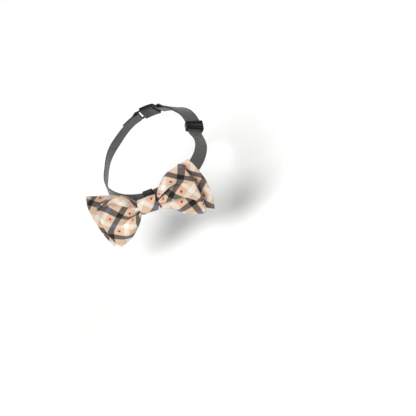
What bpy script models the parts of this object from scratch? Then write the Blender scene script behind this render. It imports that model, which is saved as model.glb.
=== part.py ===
"""A pet bow tie on its adjustable neck strap, with one named solid for each piece.

Units are metres and +Z is up. The origin is the middle of the neck hollow, +Z runs along the
neck towards the head, and the bow faces -Y with its own width along X. Cloth and webbing are
thin walls, so each one is drawn as its middle surface, which a Solidify modifier thickens.
"""

import math
from typing import NamedTuple

import bpy
import numpy as np

MM = 0.001

# Neck strap
STRAP_WIDTH = 0.0150
STRAP_THICKNESS = 0.0013
LOOP_SAMPLES = 720
PLY_RISE = 0.00175
SEWN_TAIL = 0.0190
RISE_LENGTH = 0.0070

# Slider and clasp, with the degrees round the neck that each one sits at
SLIDER_TURN = 27.7
SLIDER_REACH = 0.0052
SLIDER_END = 0.0034
SLIDER_STEP = 0.0026
CLASP_TURN = 90.0
CLASP_BAR = 0.0136
CLASP_BAR_RISE = 0.00215
HARD_BEVEL = 0.0004

# Bow, whose depths are measured outward from a plane through its corners
BOW_PLANE = 0.0710
KNOT_X = -0.0017
KNOT_HEIGHT = -0.0015
KNOT_WIDTH = 0.0205
PINCH_HALF = 0.0109
FRONT_WALL = 0.0010
BACK_WALL = 0.0014
EDGE_FOLD_RADIUS = 0.0012
EDGE_BLEND = 7
NORMAL_REACH = 2

# Knot band and the keeper behind it, both rings round X, as distances from the neck's axis
BAND_WALL = 0.0014
BAND_MIDDLE = 0.0700
BAND_HALF_DEPTH = 0.0049
BAND_HALF_HEIGHT = 0.0073
BAND_CORNER = 0.0040
BAND_CROWN = 0.0005
KEEPER_WALL = 0.0010
KEEPER_WIDTH = 0.0100
KEEPER_MIDDLE = 0.0615
KEEPER_HALF_DEPTH = 0.0018
KEEPER_HALF_HEIGHT = 0.0084
KEEPER_CORNER = 0.0010
KEEPER_SAG = 0.0002

# Mesh density
ACROSS_STEPS = 26
FRONT_ROWS = (0.0, 0.04, 0.08, 0.14, 0.21, 0.30, 0.40, 0.50, 0.60, 0.70, 0.80, 0.90, 1.0)
REAR_ROWS = (0.0, 0.08, 0.17, 0.28, 0.42, 0.60, 0.75, 0.87, 0.95, 1.0)
FOLD_STEPS = 3
BACK_BOW_STEPS = 10
BAND_WIDTH_STEPS = 6
BAND_CORNER_STEPS = 5
BAND_SIDE_STEPS = 2
KEEPER_WIDTH_STEPS = 2
KEEPER_CORNER_STEPS = 3
KEEPER_SIDE_STEPS = 1
RIBBON_STEP = 0.0045
WRAP_STEPS = 6
RISE_STEPS = 4


class LoopStation(NamedTuple):
    """One place round the neck: degrees from +X towards +Y, millimetres, degrees of tilt."""

    angle: float
    radius: float
    lift: float
    tilt: float


class Fold(NamedTuple):
    """One fold of a wing: heights and depths in millimetres at the five stations."""

    name: str
    across: float
    height: tuple
    depth: tuple
    reach: float


# Shares of the way from the pinch to the outer edge: knot, neck, near, middle, outer
STATIONS = (0.0, 0.08, 0.25, 0.60, 1.0)

LOOP = (
    LoopStation(-90, 61.3, 0.0, 0),
    LoopStation(-50, 59.5, 0.0, 8),
    LoopStation(-25, 57.8, 0.6, 18),
    LoopStation(-5, 55.8, 2.0, 31),
    LoopStation(18, 52.4, 3.6, 48),
    LoopStation(34, 58.0, 7.8, 59),
    LoopStation(52, 64.3, 13.0, 60),
    LoopStation(76, 69.6, 15.4, 38),
    LoopStation(90, 71.0, 16.0, 36),
    LoopStation(104, 69.8, 15.2, 34),
    LoopStation(135, 64.0, 8.0, 18),
    LoopStation(180, 54.6, 3.0, 14),
    LoopStation(225, 58.2, 2.6, 7),
    LoopStation(248, 60.2, 1.3, 2.5),
)

RIGHT_WING = (
    Fold("top edge", 0.00, (4.0, 8.8, 16.0, 26.0, 30.3), (0.6, -0.8, -1.5, -1.5, -1.0), 44.8),
    Fold("top shoulder", 0.08, (3.6, 8.6, 16.5, 25.0, 27.5), (0.8, 1.2, 2.5, 1.5, -0.5), 46.2),
    Fold("upper ridge", 0.21, (2.4, 6.8, 13.5, 19.5, 18.0), (1.0, 3.2, 6.5, 5.5, 1.0), 48.6),
    Fold("valley lip", 0.31, (1.2, 5.0, 10.5, 14.5, 10.5), (0.8, 3.0, 5.5, 3.8, 1.5), 49.4),
    Fold("deep valley", 0.39, (0.2, 3.0, 7.5, 11.0, 5.5), (0.3, 0.2, -2.6, -0.8, 1.5), 49.6),
    Fold("middle ridge", 0.53, (-1.4, 0.3, 3.0, 4.8, -3.5), (1.0, 2.8, 6.0, 6.8, 2.5), 49.4),
    Fold("ridge lip", 0.66, (-3.0, -2.2, -1.3, -1.4, -16.5), (0.8, 2.6, 5.5, 6.0, 2.5), 48.3),
    Fold("second valley", 0.74, (-4.0, -4.0, -4.8, -5.2, -20.5), (0.3, 0.3, -2.0, -1.6, 0.2), 47.5),
    Fold("lower lobe", 0.88, (-5.4, -8.5, -12.5, -18.0, -28.0), (0.8, 1.5, 1.5, 1.5, 0.2), 46.0),
    Fold("bottom edge", 1.00, (-6.6, -12.0, -18.0, -29.5, -34.5), (0.6, -0.3, -1.5, -1.0, -0.8), 43.5),
)

LEFT_WING = (
    Fold("top edge", 0.00, (4.2, 8.8, 19.8, 23.4, 25.8), (0.6, 0.6, 0.8, 4.4, 10.2), -43.0),
    Fold("top shoulder", 0.08, (3.6, 9.6, 21.6, 23.6, 24.4), (0.8, 2.0, 4.4, 6.8, 10.2), -44.0),
    Fold("upper ridge", 0.17, (2.4, 8.0, 16.0, 22.2, 22.4), (1.0, 3.6, 7.0, 8.4, 9.4), -45.4),
    Fold("valley lip", 0.27, (1.2, 5.0, 9.5, 20.0, 19.6), (0.8, 3.0, 6.0, 6.4, 7.8), -46.8),
    Fold("deep valley", 0.38, (0.0, 2.3, 6.0, 16.0, 15.5), (0.3, 0.2, -2.8, 0.4, 5.6), -49.0),
    Fold("middle ridge", 0.56, (-1.6, -0.4, -0.5, 1.5, 1.5), (1.0, 2.0, 4.5, 4.5, 3.6), -53.0),
    Fold("soft valley", 0.71, (-3.4, -4.4, -8.6, -12.8, -14.0), (0.4, 0.8, 0.8, 1.8, 3.2), -54.6),
    Fold("lower ridge", 0.85, (-5.2, -8.6, -14.3, -21.5, -25.5), (0.9, 3.0, 6.5, 6.0, 4.6), -53.2),
    Fold("bottom edge", 1.00, (-6.6, -11.5, -19.5, -30.5, -36.8), (0.6, 0.0, 1.0, 2.5, 4.0), -50.2),
)

RIGHT_BACK_WING = (
    Fold("top edge", 0.00, (2.6, 7.5, 13.5, 23.5, 30.0), (-3.6, -5.6, -9.0, -7.2, -5.0), 54.5),
    Fold("upper ridge", 0.25, (0.6, 3.5, 7.0, 14.0, 17.0), (-3.6, -5.5, -8.9, -7.0, -4.8), 58.0),
    Fold("middle valley", 0.50, (-1.5, -1.5, -1.5, -1.0, -1.5), (-3.6, -5.7, -9.6, -8.6, -6.0), 59.6),
    Fold("lower ridge", 0.75, (-3.6, -6.5, -10.0, -15.5, -19.5), (-3.6, -5.5, -8.9, -7.0, -4.8), 58.0),
    Fold("bottom edge", 1.00, (-5.6, -10.5, -17.0, -27.0, -36.2), (-3.6, -5.6, -9.0, -7.2, -5.0), 53.3),
)

LEFT_BACK_WING = (
    Fold("top edge", 0.00, (2.6, 7.0, 12.5, 21.5, 30.2), (-3.6, -5.6, -9.0, -7.2, -4.2), -56.0),
    Fold("upper ridge", 0.25, (0.6, 3.5, 7.0, 13.0, 16.5), (-3.6, -5.5, -8.9, -7.0, -4.0), -61.0),
    Fold("middle valley", 0.50, (-1.5, -1.5, -1.5, -2.0, -3.5), (-3.6, -5.7, -9.6, -8.6, -5.2), -63.7),
    Fold("lower ridge", 0.75, (-3.6, -6.5, -10.5, -17.0, -24.0), (-3.6, -5.5, -8.9, -7.0, -4.0), -62.8),
    Fold("bottom edge", 1.00, (-5.6, -10.5, -18.0, -28.5, -38.8), (-3.6, -5.6, -9.0, -7.2, -4.2), -60.3),
)

# Front bow's rear ply at the five stations: depth in millimetres, and height as a share of
# the front ply's
REAR_DEPTH = (-1.8, -2.6, -5.2, -4.8, -4.0)
REAR_SHARE = (0.94, 0.85, 0.72, 0.78, 1.00)


def clear_scene():
    """Remove every object that the file opened with."""
    for thing in list(bpy.data.objects):
        bpy.data.objects.remove(thing, do_unlink=True)


def make_material(name, colour, roughness, metallic=0.0):
    """Return a plain Principled material from linear colour values."""
    material = bpy.data.materials.new(name)
    material.use_nodes = True
    shader = material.node_tree.nodes["Principled BSDF"]
    shader.inputs["Base Color"].default_value = (*colour, 1.0)
    shader.inputs["Roughness"].default_value = roughness
    shader.inputs["Metallic"].default_value = metallic
    return material


def flowing(knots, values, places):
    """Read a curve through (knots, values) that never overshoots, at each of the places."""
    knots = np.asarray(knots, float)
    values = np.asarray(values, float)
    places = np.asarray(places, float)
    step = np.diff(knots)
    rise = np.diff(values) / step
    slope = np.empty_like(values)
    slope[0] = rise[0]
    slope[-1] = rise[-1]
    turns = rise[:-1] * rise[1:] <= 0.0
    safe = np.where(turns, 1.0, rise[:-1] + rise[1:])
    slope[1:-1] = np.where(turns, 0.0, 2.0 * rise[:-1] * rise[1:] / safe)
    index = np.clip(np.searchsorted(knots, places, side="right") - 1, 0, len(step) - 1)
    share = (places - knots[index]) / step[index]
    square = share * share
    cube = square * share
    return (
        values[index] * (2.0 * cube - 3.0 * square + 1.0)
        + slope[index] * step[index] * (cube - 2.0 * square + share)
        + values[index + 1] * (3.0 * square - 2.0 * cube)
        + slope[index + 1] * step[index] * (cube - square)
    )


def surface_object(name, points, wall, material, ring):
    """Make a wall of even thickness from its middle surface, a grid of (rows, columns, 3)."""
    rows, columns = points.shape[:2]
    last_row = rows if ring else rows - 1
    faces = []
    for row in range(last_row):
        following = (row + 1) % rows
        for column in range(columns - 1):
            faces.append((
                row * columns + column,
                row * columns + column + 1,
                following * columns + column + 1,
                following * columns + column,
            ))
    mesh = bpy.data.meshes.new(name)
    mesh.from_pydata(points.reshape(-1, 3).tolist(), [], faces)
    mesh.materials.append(material)
    mesh.shade_smooth()
    thing = bpy.data.objects.new(name, mesh)
    bpy.context.collection.objects.link(thing)
    thicken = thing.modifiers.new("Wall", "SOLIDIFY")
    thicken.thickness = wall
    thicken.offset = 0.0
    thicken.use_even_offset = True
    return thing


def read_folds(folds, shares, across):
    """Return heights, depths and reaches in metres of a wing, read from its table of folds."""
    places = [fold.across for fold in folds]
    heights = np.empty((len(shares), len(across)))
    depths = np.empty_like(heights)
    by_fold_height = np.array([flowing(STATIONS, fold.height, shares) for fold in folds])
    by_fold_depth = np.array([flowing(STATIONS, fold.depth, shares) for fold in folds])
    for row in range(len(shares)):
        heights[row] = flowing(places, by_fold_height[:, row], across)
        depths[row] = flowing(places, by_fold_depth[:, row], across)
    reaches = flowing(places, [fold.reach for fold in folds], across)
    return heights * MM, depths * MM, reaches * MM


def wing_surface(folds, shares, across):
    """Return a wing's middle surface as (x, height, depth), one row for each share outward."""
    heights, depths, reaches = read_folds(folds, shares, across)
    pinch = KNOT_X + math.copysign(PINCH_HALF, reaches[0])
    x = pinch + (reaches - pinch) * np.asarray(shares)[:, None]
    return np.stack([x, heights, depths], axis=2)


def edge_normals(edge, side):
    """Return unit vectors that point forward, square to a wing along its outer edge."""
    window = np.ones(2 * NORMAL_REACH + 1) / (2 * NORMAL_REACH + 1)
    along = np.gradient(edge, axis=0)
    padded = np.pad(along, ((NORMAL_REACH, NORMAL_REACH), (0, 0)), mode="edge")
    smooth = np.stack([np.convolve(padded[:, i], window, "valid") for i in range(3)], axis=1)
    normals = np.cross((side, 0.0, 0.0), smooth)
    normals *= np.sign(normals[:, 2:])
    return normals / np.linalg.norm(normals, axis=1, keepdims=True)


def edge_fold(folds, across):
    """Return the columns that carry the cloth round a wing's outer edge, front to rear."""
    edge = wing_surface(folds, [1.0], across)[0]
    side = math.copysign(1.0, edge[0, 0])
    forward = edge_normals(edge, side)
    columns = []
    for step in range(1, FOLD_STEPS + 1):
        turn = math.pi * step / FOLD_STEPS
        column = edge - EDGE_FOLD_RADIUS * (1.0 - math.cos(turn)) * forward
        column[:, 0] += side * EDGE_FOLD_RADIUS * math.sin(turn)
        columns.append(column)
    return np.array(columns)


def rear_surface(folds, shares, across):
    """Return the rear ply of a front wing, which ends where the outer edge's fold ends."""
    edge = edge_fold(folds, across)[-1]
    outline = wing_surface((folds[0], folds[-1]), shares, across)
    widest = wing_surface((folds[0], folds[-1]), [1.0], across)[0]
    share = np.asarray(shares)[:, None]
    pinch = KNOT_X + math.copysign(PINCH_HALF, edge[0, 0])
    blend = share ** EDGE_BLEND
    drawn_in = flowing(STATIONS, REAR_SHARE, shares)[:, None]
    x = pinch + (edge[:, 0] - pinch) * share
    height = outline[:, :, 1] * drawn_in + (edge[:, 1] - widest[:, 1]) * blend
    flat = flowing(STATIONS, REAR_DEPTH, shares)[:, None] * MM
    depth = flat * (1.0 - blend) + edge[:, 2] * blend
    return np.stack([x, height, depth], axis=2)


def to_world(surface):
    """Turn (x, height, depth) of the bow into world coordinates."""
    return np.stack([surface[..., 0], -(BOW_PLANE + surface[..., 2]), surface[..., 1]], axis=-1)


def make_front_bow(material):
    """Model the front bow: a strip looped round both outer edges and pinched in the middle."""
    across = np.linspace(0.0, 1.0, ACROSS_STEPS + 1)
    right_front = wing_surface(RIGHT_WING, FRONT_ROWS, across)
    left_front = wing_surface(LEFT_WING, FRONT_ROWS, across)
    right_rear = rear_surface(RIGHT_WING, REAR_ROWS, across)
    left_rear = rear_surface(LEFT_WING, REAR_ROWS, across)
    front_middle = 0.5 * (right_front[:1] + left_front[:1])
    rear_middle = 0.5 * (right_rear[:1] + left_rear[:1])
    strip = np.concatenate([
        right_front,
        edge_fold(RIGHT_WING, across)[:-1],
        right_rear[::-1],
        rear_middle,
        left_rear,
        edge_fold(LEFT_WING, across)[-2::-1],
        left_front[::-1],
        front_middle,
    ])
    return surface_object("front_bow", to_world(strip), FRONT_WALL, material, ring=True)


def make_back_bow(material):
    """Model the back bow: two plies pressed flat into one wall, pinched in the middle."""
    across = np.linspace(0.0, 1.0, ACROSS_STEPS // 2 + 1)
    out = np.linspace(0.0, 1.0, BACK_BOW_STEPS + 1)
    right = wing_surface(RIGHT_BACK_WING, out, across)
    left = wing_surface(LEFT_BACK_WING, out, across)
    middle = 0.5 * (right[:1] + left[:1])
    strip = np.concatenate([left[::-1], middle, right])
    return surface_object("back_bow", to_world(strip), BACK_WALL, material, ring=False)


def ring_profile(middle, half_depth, half_height, corner, corner_steps, side_steps):
    """Return a closed rounded oblong of (distance from the neck's axis, height)."""
    straight_out = half_depth - corner
    straight_up = half_height - corner
    profile = []
    for quarter, (out_sign, up_sign) in enumerate(((1, 1), (-1, 1), (-1, -1), (1, -1))):
        for step in range(corner_steps + 1):
            turn = 0.5 * math.pi * (quarter + step / corner_steps)
            profile.append((
                middle + out_sign * straight_out + corner * math.cos(turn),
                up_sign * straight_up + corner * math.sin(turn),
            ))
        if up_sign == 1 and out_sign == 1 or up_sign == -1 and out_sign == -1:
            continue
        for step in range(1, side_steps):
            share = 1.0 - 2.0 * step / side_steps
            profile.append((profile[-1][0], up_sign * straight_up * share))
    return profile


def ring_surface(profile, centre_x, height, width, width_steps, crown, sag):
    """Sweep a ring profile along X, its front crowned and its neck side bowed to the strap."""
    outs = [out for out, up in profile]
    back, front = min(outs), max(outs)
    points = np.empty((len(profile), width_steps + 1, 3))
    for row, (out, up) in enumerate(profile):
        frontness = (out - back) / (front - back)
        for column in range(width_steps + 1):
            along = -1.0 + 2.0 * column / width_steps
            bulge = crown * (1.0 - along * along) * frontness
            hollow = sag * along * along * (1.0 - frontness)
            x = centre_x + 0.5 * width * along
            points[row, column] = (x, hollow - out - bulge, height + up)
    return points


def make_knot_band(material):
    """Model the knot: one closed band round both pinches."""
    profile = ring_profile(
        BAND_MIDDLE, BAND_HALF_DEPTH, BAND_HALF_HEIGHT, BAND_CORNER,
        BAND_CORNER_STEPS, BAND_SIDE_STEPS,
    )
    points = ring_surface(
        profile, KNOT_X, KNOT_HEIGHT, KNOT_WIDTH, BAND_WIDTH_STEPS, BAND_CROWN, 0.0
    )
    return surface_object("knot_band", points, BAND_WALL, material, ring=True)


def make_strap_keeper(material):
    """Model the plain loop behind the knot that the strap runs through."""
    profile = ring_profile(
        KEEPER_MIDDLE, KEEPER_HALF_DEPTH, KEEPER_HALF_HEIGHT, KEEPER_CORNER,
        KEEPER_CORNER_STEPS, KEEPER_SIDE_STEPS,
    )
    points = ring_surface(
        profile, 0.0, 0.0, KEEPER_WIDTH, KEEPER_WIDTH_STEPS, 0.0, KEEPER_SAG
    )
    return surface_object("strap_keeper", points, KEEPER_WALL, material, ring=True)


class StrapLoop:
    """The middle line of the strap round the neck, read by length from the bow's middle."""

    def __init__(self):
        angles = [station.angle for station in LOOP]
        turns = np.array([a - 360 for a in angles] + angles + [a + 360 for a in angles])
        self.turns = turns
        self.radius = np.array([station.radius for station in LOOP] * 3) * MM
        self.lift = np.array([station.lift for station in LOOP] * 3) * MM
        self.tilt = np.radians([station.tilt for station in LOOP] * 3)
        self.samples = np.linspace(-90.0, 270.0, LOOP_SAMPLES + 1)
        places = self.middle(self.samples)
        steps = np.linalg.norm(np.diff(places, axis=0), axis=1)
        self.lengths = np.concatenate([[0.0], np.cumsum(steps)])
        self.total = self.lengths[-1]

    def middle(self, degrees):
        """Return points of the middle line at angles in degrees."""
        degrees = np.asarray(degrees, float)
        turn = np.radians(degrees)
        radius = flowing(self.turns, self.radius, degrees)
        lift = flowing(self.turns, self.lift, degrees)
        return np.stack([radius * np.cos(turn), radius * np.sin(turn), lift], axis=-1)

    def frame(self, length):
        """Return the point, the width direction and the outward normal at one length."""
        degrees = np.interp(length % self.total, self.lengths, self.samples)
        nudge = 0.25
        before, here, after = self.middle([degrees - nudge, degrees, degrees + nudge])
        tangent = (after - before) / np.linalg.norm(after - before)
        outward = np.cross(tangent, (0.0, 0.0, 1.0))
        outward /= np.linalg.norm(outward)
        upward = np.cross(outward, tangent)
        tilt = float(flowing(self.turns, self.tilt, [degrees])[0])
        normal = math.cos(tilt) * outward + math.sin(tilt) * upward
        width = math.cos(tilt) * upward - math.sin(tilt) * outward
        return here, width, normal

    def length_at(self, degrees):
        """Return the length along the strap at an angle round the neck."""
        return float(np.interp(degrees, self.samples, self.lengths))

    def place(self, length, across, rise):
        """Return the world point at a length, a distance across and a height off the strap."""
        here, width, normal = self.frame(length)
        return here + across * width + rise * normal


def eased(start, end, steps):
    """Return lengths and rises from start to end, each a (length, rise), with soft ends."""
    points = []
    for step in range(1, steps + 1):
        share = step / steps
        soft = share * share * (3.0 - 2.0 * share)
        points.append((
            start[0] + (end[0] - start[0]) * share,
            start[1] + (end[1] - start[1]) * soft,
        ))
    return points


def half_turn(place, radius, side, direction):
    """Return a half circle round a bar, from above it to below it or the other way."""
    points = []
    for step in range(1, WRAP_STEPS):
        turn = math.pi * step / WRAP_STEPS
        points.append((
            place + side * radius * math.sin(turn),
            radius + direction * radius * math.cos(turn),
        ))
    return points


def run(start, end, step):
    """Return evenly spaced points from start to end, both (length, rise), without start."""
    count = max(1, round(abs(end[0] - start[0]) / step))
    return eased(start, end, count)


def strap_route(loop):
    """Return the whole strap as (length, rise): slider end, return ply, loop, sewn end."""
    slider_place = loop.length_at(SLIDER_TURN)
    clasp_place = loop.length_at(CLASP_TURN)
    right_bar = clasp_place - CLASP_BAR
    left_bar = clasp_place + CLASP_BAR - loop.total
    bar_top = 2.0 * CLASP_BAR_RISE
    route = [(slider_place - SLIDER_END, PLY_RISE)]
    route += run(route[-1], (slider_place + SLIDER_REACH, PLY_RISE), SLIDER_STEP)
    route += run(route[-1], (right_bar - RISE_LENGTH, PLY_RISE), RIBBON_STEP)
    route += eased(route[-1], (right_bar, bar_top), RISE_STEPS)
    route += half_turn(right_bar, CLASP_BAR_RISE, 1.0, 1.0)
    route += [(right_bar, 0.0)]
    route += run(route[-1], (slider_place + SLIDER_REACH, 0.0), RIBBON_STEP)
    route += run(route[-1], (slider_place - SLIDER_REACH, 0.0), SLIDER_STEP)
    route += run(route[-1], (left_bar, 0.0), RIBBON_STEP)
    route += half_turn(left_bar, CLASP_BAR_RISE, -1.0, -1.0)
    route += [(left_bar, bar_top)]
    route += eased(route[-1], (left_bar + RISE_LENGTH, PLY_RISE), RISE_STEPS)
    route += run(route[-1], (left_bar + SEWN_TAIL, PLY_RISE), RIBBON_STEP)
    return route


def make_neck_strap(loop, material):
    """Model the strap: one webbing ribbon from the slider to the clasp and round the neck."""
    half = 0.5 * STRAP_WIDTH
    rows = [
        [loop.place(length, side, rise) for side in (-half, half)]
        for length, rise in strap_route(loop)
    ]
    return surface_object("neck_strap", np.array(rows), STRAP_THICKNESS, material, ring=False)


def cell_object(name, loop, place, along, across, rises, filled, material):
    """Make a solid from filled cells between breaks, bent to follow the strap at place."""
    points = {}
    faces = []

    def corner(a, b, c):
        return points.setdefault((a, b, c), len(points))

    def solid(a, b, c):
        inside = 0 <= a < len(along) - 1 and 0 <= b < len(across) - 1 and 0 <= c < len(rises) - 1
        return inside and filled(a, b, c)

    for a in range(len(along) - 1):
        for b in range(len(across) - 1):
            for c in range(len(rises) - 1):
                if not solid(a, b, c):
                    continue
                low = (a, b, c)
                for axis in range(3):
                    for side in (0, 1):
                        beside = list(low)
                        beside[axis] += 1 if side else -1
                        if solid(*beside):
                            continue
                        first, second = (axis + 1) % 3, (axis + 2) % 3
                        loop_corners = []
                        for one, two in ((0, 0), (1, 0), (1, 1), (0, 1)):
                            spot = list(low)
                            spot[axis] += side
                            spot[first] += one
                            spot[second] += two
                            loop_corners.append(corner(*spot))
                        faces.append(loop_corners if side else loop_corners[::-1])
    world = [
        loop.place(place + along[a], across[b], rises[c]).tolist()
        for a, b, c in points
    ]
    mesh = bpy.data.meshes.new(name)
    mesh.from_pydata(world, [], faces)
    mesh.materials.append(material)
    thing = bpy.data.objects.new(name, mesh)
    bpy.context.collection.objects.link(thing)
    bevel = thing.modifiers.new("Moulded edges", "BEVEL")
    bevel.width = HARD_BEVEL
    bevel.segments = 1
    bevel.limit_method = "ANGLE"
    return thing


def make_slider(loop, material):
    """Model the slider: a sleeve round both plies, with three bars across its face."""
    along = (-SLIDER_REACH, -0.0029, -0.0021, 0.0021, 0.0029, SLIDER_REACH)
    across = (-0.0093, -0.0079, 0.0079, 0.0093)
    rises = (-0.0022, -0.00095, 0.0027, 0.0035, 0.0043)

    def filled(a, b, c):
        rail = b != 1
        groove = c == 3 and a % 2 == 1
        return (rail or c != 1) and not groove

    place = loop.length_at(SLIDER_TURN)
    return cell_object("slider", loop, place, along, across, rises, filled, material)


def make_clasp(loop, material):
    """Model the clasp that the head hides: a plain block with a bar at each end."""
    along = (-0.0146, -0.0126, -0.0085, 0.0085, 0.0126, 0.0146)
    across = (-0.0101, -0.0079, 0.0079, 0.0101)
    rises = (-0.0009, 0.00125, 0.00305, 0.0051)

    def filled(a, b, c):
        body = a == 2
        bar = a in (0, 4)
        rail = b != 1
        return body or (c == 1 and (bar or rail))

    place = loop.length_at(CLASP_TURN)
    return cell_object("clasp", loop, place, along, across, rises, filled, material)


def main():
    """Model every piece of the bow tie."""
    clear_scene()
    cloth = make_material("Checked cotton", (0.62, 0.45, 0.33), 0.8)
    webbing = make_material("Woven webbing", (0.05, 0.05, 0.045), 0.6)
    plastic = make_material("Moulded plastic", (0.01, 0.01, 0.01), 0.4)
    make_front_bow(cloth)
    make_back_bow(cloth)
    make_knot_band(cloth)
    make_strap_keeper(webbing)
    loop = StrapLoop()
    make_neck_strap(loop, webbing)
    make_slider(loop, plastic)
    make_clasp(loop, plastic)


if __name__ == "__main__":
    main()
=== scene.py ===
"""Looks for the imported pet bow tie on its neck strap.

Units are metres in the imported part's own frame. The origin is the middle of the neck hollow, +Z
runs along the neck towards the head, and the bow faces -Y with its width along X. Depths of the
bow's cloth are measured outward from a plane through its corners. Each cloth piece carries a UV
map of its flat cut, in metres, so that a weave keeps its real size wherever the cloth goes.
"""

import logging
import math
from dataclasses import dataclass
from enum import Enum
from typing import NamedTuple

import bmesh
import bpy
import numpy as np
from mathutils import Matrix, Vector


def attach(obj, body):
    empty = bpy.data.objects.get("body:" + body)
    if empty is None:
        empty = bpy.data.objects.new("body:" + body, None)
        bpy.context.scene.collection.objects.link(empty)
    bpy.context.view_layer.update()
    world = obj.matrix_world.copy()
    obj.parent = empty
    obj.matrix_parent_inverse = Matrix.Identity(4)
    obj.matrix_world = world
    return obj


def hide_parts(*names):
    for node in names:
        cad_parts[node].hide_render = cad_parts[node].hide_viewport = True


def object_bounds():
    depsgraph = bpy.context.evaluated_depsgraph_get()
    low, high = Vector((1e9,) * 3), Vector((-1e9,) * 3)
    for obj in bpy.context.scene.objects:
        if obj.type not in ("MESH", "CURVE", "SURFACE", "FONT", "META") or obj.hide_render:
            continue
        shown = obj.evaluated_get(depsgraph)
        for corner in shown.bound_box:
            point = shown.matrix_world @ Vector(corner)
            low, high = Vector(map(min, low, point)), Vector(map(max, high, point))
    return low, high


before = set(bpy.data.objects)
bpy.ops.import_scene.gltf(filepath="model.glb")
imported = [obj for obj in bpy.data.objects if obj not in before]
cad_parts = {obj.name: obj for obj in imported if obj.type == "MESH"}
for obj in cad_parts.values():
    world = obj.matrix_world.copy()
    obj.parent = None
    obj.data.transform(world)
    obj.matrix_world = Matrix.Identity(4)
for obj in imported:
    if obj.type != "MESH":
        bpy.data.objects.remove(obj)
cad_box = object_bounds()

LOG = logging.getLogger("bow_tie")
MM = 0.001
BODY = "root"
FLAT_MAP = "flat_cut"

# Shares of the way from the pinch to a wing's outer edge: knot, neck, near, middle, outer
STATIONS = (0.0, 0.08, 0.25, 0.60, 1.0)


class Slot(Enum):
    """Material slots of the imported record."""

    CLOTH = "checked_cloth"
    WEBBING = "strap_webbing"
    ELASTIC = "keeper_elastic"
    PLASTIC = "moulded_plastic"


class Held(Enum):
    """Ways in which a sheet is held."""

    GATHERED = "gathered"
    FOLDED = "folded"
    STRETCHED = "stretched"


class Fold(NamedTuple):
    """One fold line of a wing: heights and depths in millimetres at the five stations."""

    name: str
    across: float
    height: tuple[float, ...]
    depth: tuple[float, ...]
    reach: float


class Crease(NamedTuple):
    """A sharp crease: its line as (x, height) in millimetres, its depth and half width."""

    line: tuple[tuple[float, float], ...]
    depth: float
    half_width: float


class LoopStation(NamedTuple):
    """One place round the neck: degrees from +X towards +Y, millimetres, degrees of tilt."""

    angle: float
    radius: float
    lift: float
    tilt: float


LOOP = (
    LoopStation(-90, 61.3, 0.0, 0),
    LoopStation(-50, 59.5, 0.0, 8),
    LoopStation(-25, 57.8, 0.6, 18),
    LoopStation(-5, 55.8, 2.0, 31),
    LoopStation(18, 52.4, 3.6, 48),
    LoopStation(34, 58.0, 7.8, 59),
    LoopStation(52, 64.3, 13.0, 60),
    LoopStation(76, 69.6, 15.4, 38),
    LoopStation(90, 71.0, 16.0, 36),
    LoopStation(104, 69.8, 15.2, 34),
    LoopStation(135, 64.0, 8.0, 18),
    LoopStation(180, 54.6, 3.0, 14),
    LoopStation(225, 58.2, 2.6, 7),
    LoopStation(248, 60.2, 1.3, 2.5),
)

RIGHT_FOLDS = (
    Fold("top edge", 0.00, (4.0, 8.8, 16.0, 26.0, 30.3), (0.6, -0.8, -1.5, -1.5, -1.0), 44.8),
    Fold("top shoulder", 0.08, (3.6, 8.6, 16.5, 25.0, 27.5), (0.8, 1.2, 2.5, 1.5, -0.5), 46.2),
    Fold("upper ridge", 0.21, (2.4, 6.8, 13.5, 19.5, 18.0), (1.0, 3.2, 6.5, 5.5, 1.0), 48.6),
    Fold("valley lip", 0.31, (1.2, 5.0, 10.5, 14.5, 10.5), (0.8, 3.0, 5.5, 3.8, 1.5), 49.4),
    Fold("deep valley", 0.39, (0.2, 3.0, 7.5, 11.0, 5.5), (0.3, 0.2, -2.6, -0.8, 1.5), 49.6),
    Fold("middle ridge", 0.53, (-1.4, 0.3, 3.0, 4.8, -3.5), (1.0, 2.8, 6.0, 6.8, 2.5), 49.4),
    Fold("ridge lip", 0.66, (-3.0, -2.2, -1.3, -1.4, -16.5), (0.8, 2.6, 5.5, 6.0, 2.5), 48.3),
    Fold("second valley", 0.74, (-4.0, -4.0, -4.8, -5.2, -20.5), (0.3, 0.0, -2.9, -2.6, -0.6), 47.5),
    Fold("lower lobe", 0.88, (-5.4, -8.5, -12.5, -18.0, -28.0), (0.8, 1.5, 1.5, 1.5, 0.2), 46.0),
    Fold("bottom edge", 1.00, (-6.6, -12.0, -18.0, -29.5, -34.5), (0.6, -0.3, -1.5, -1.0, -0.8), 43.5),
)

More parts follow.
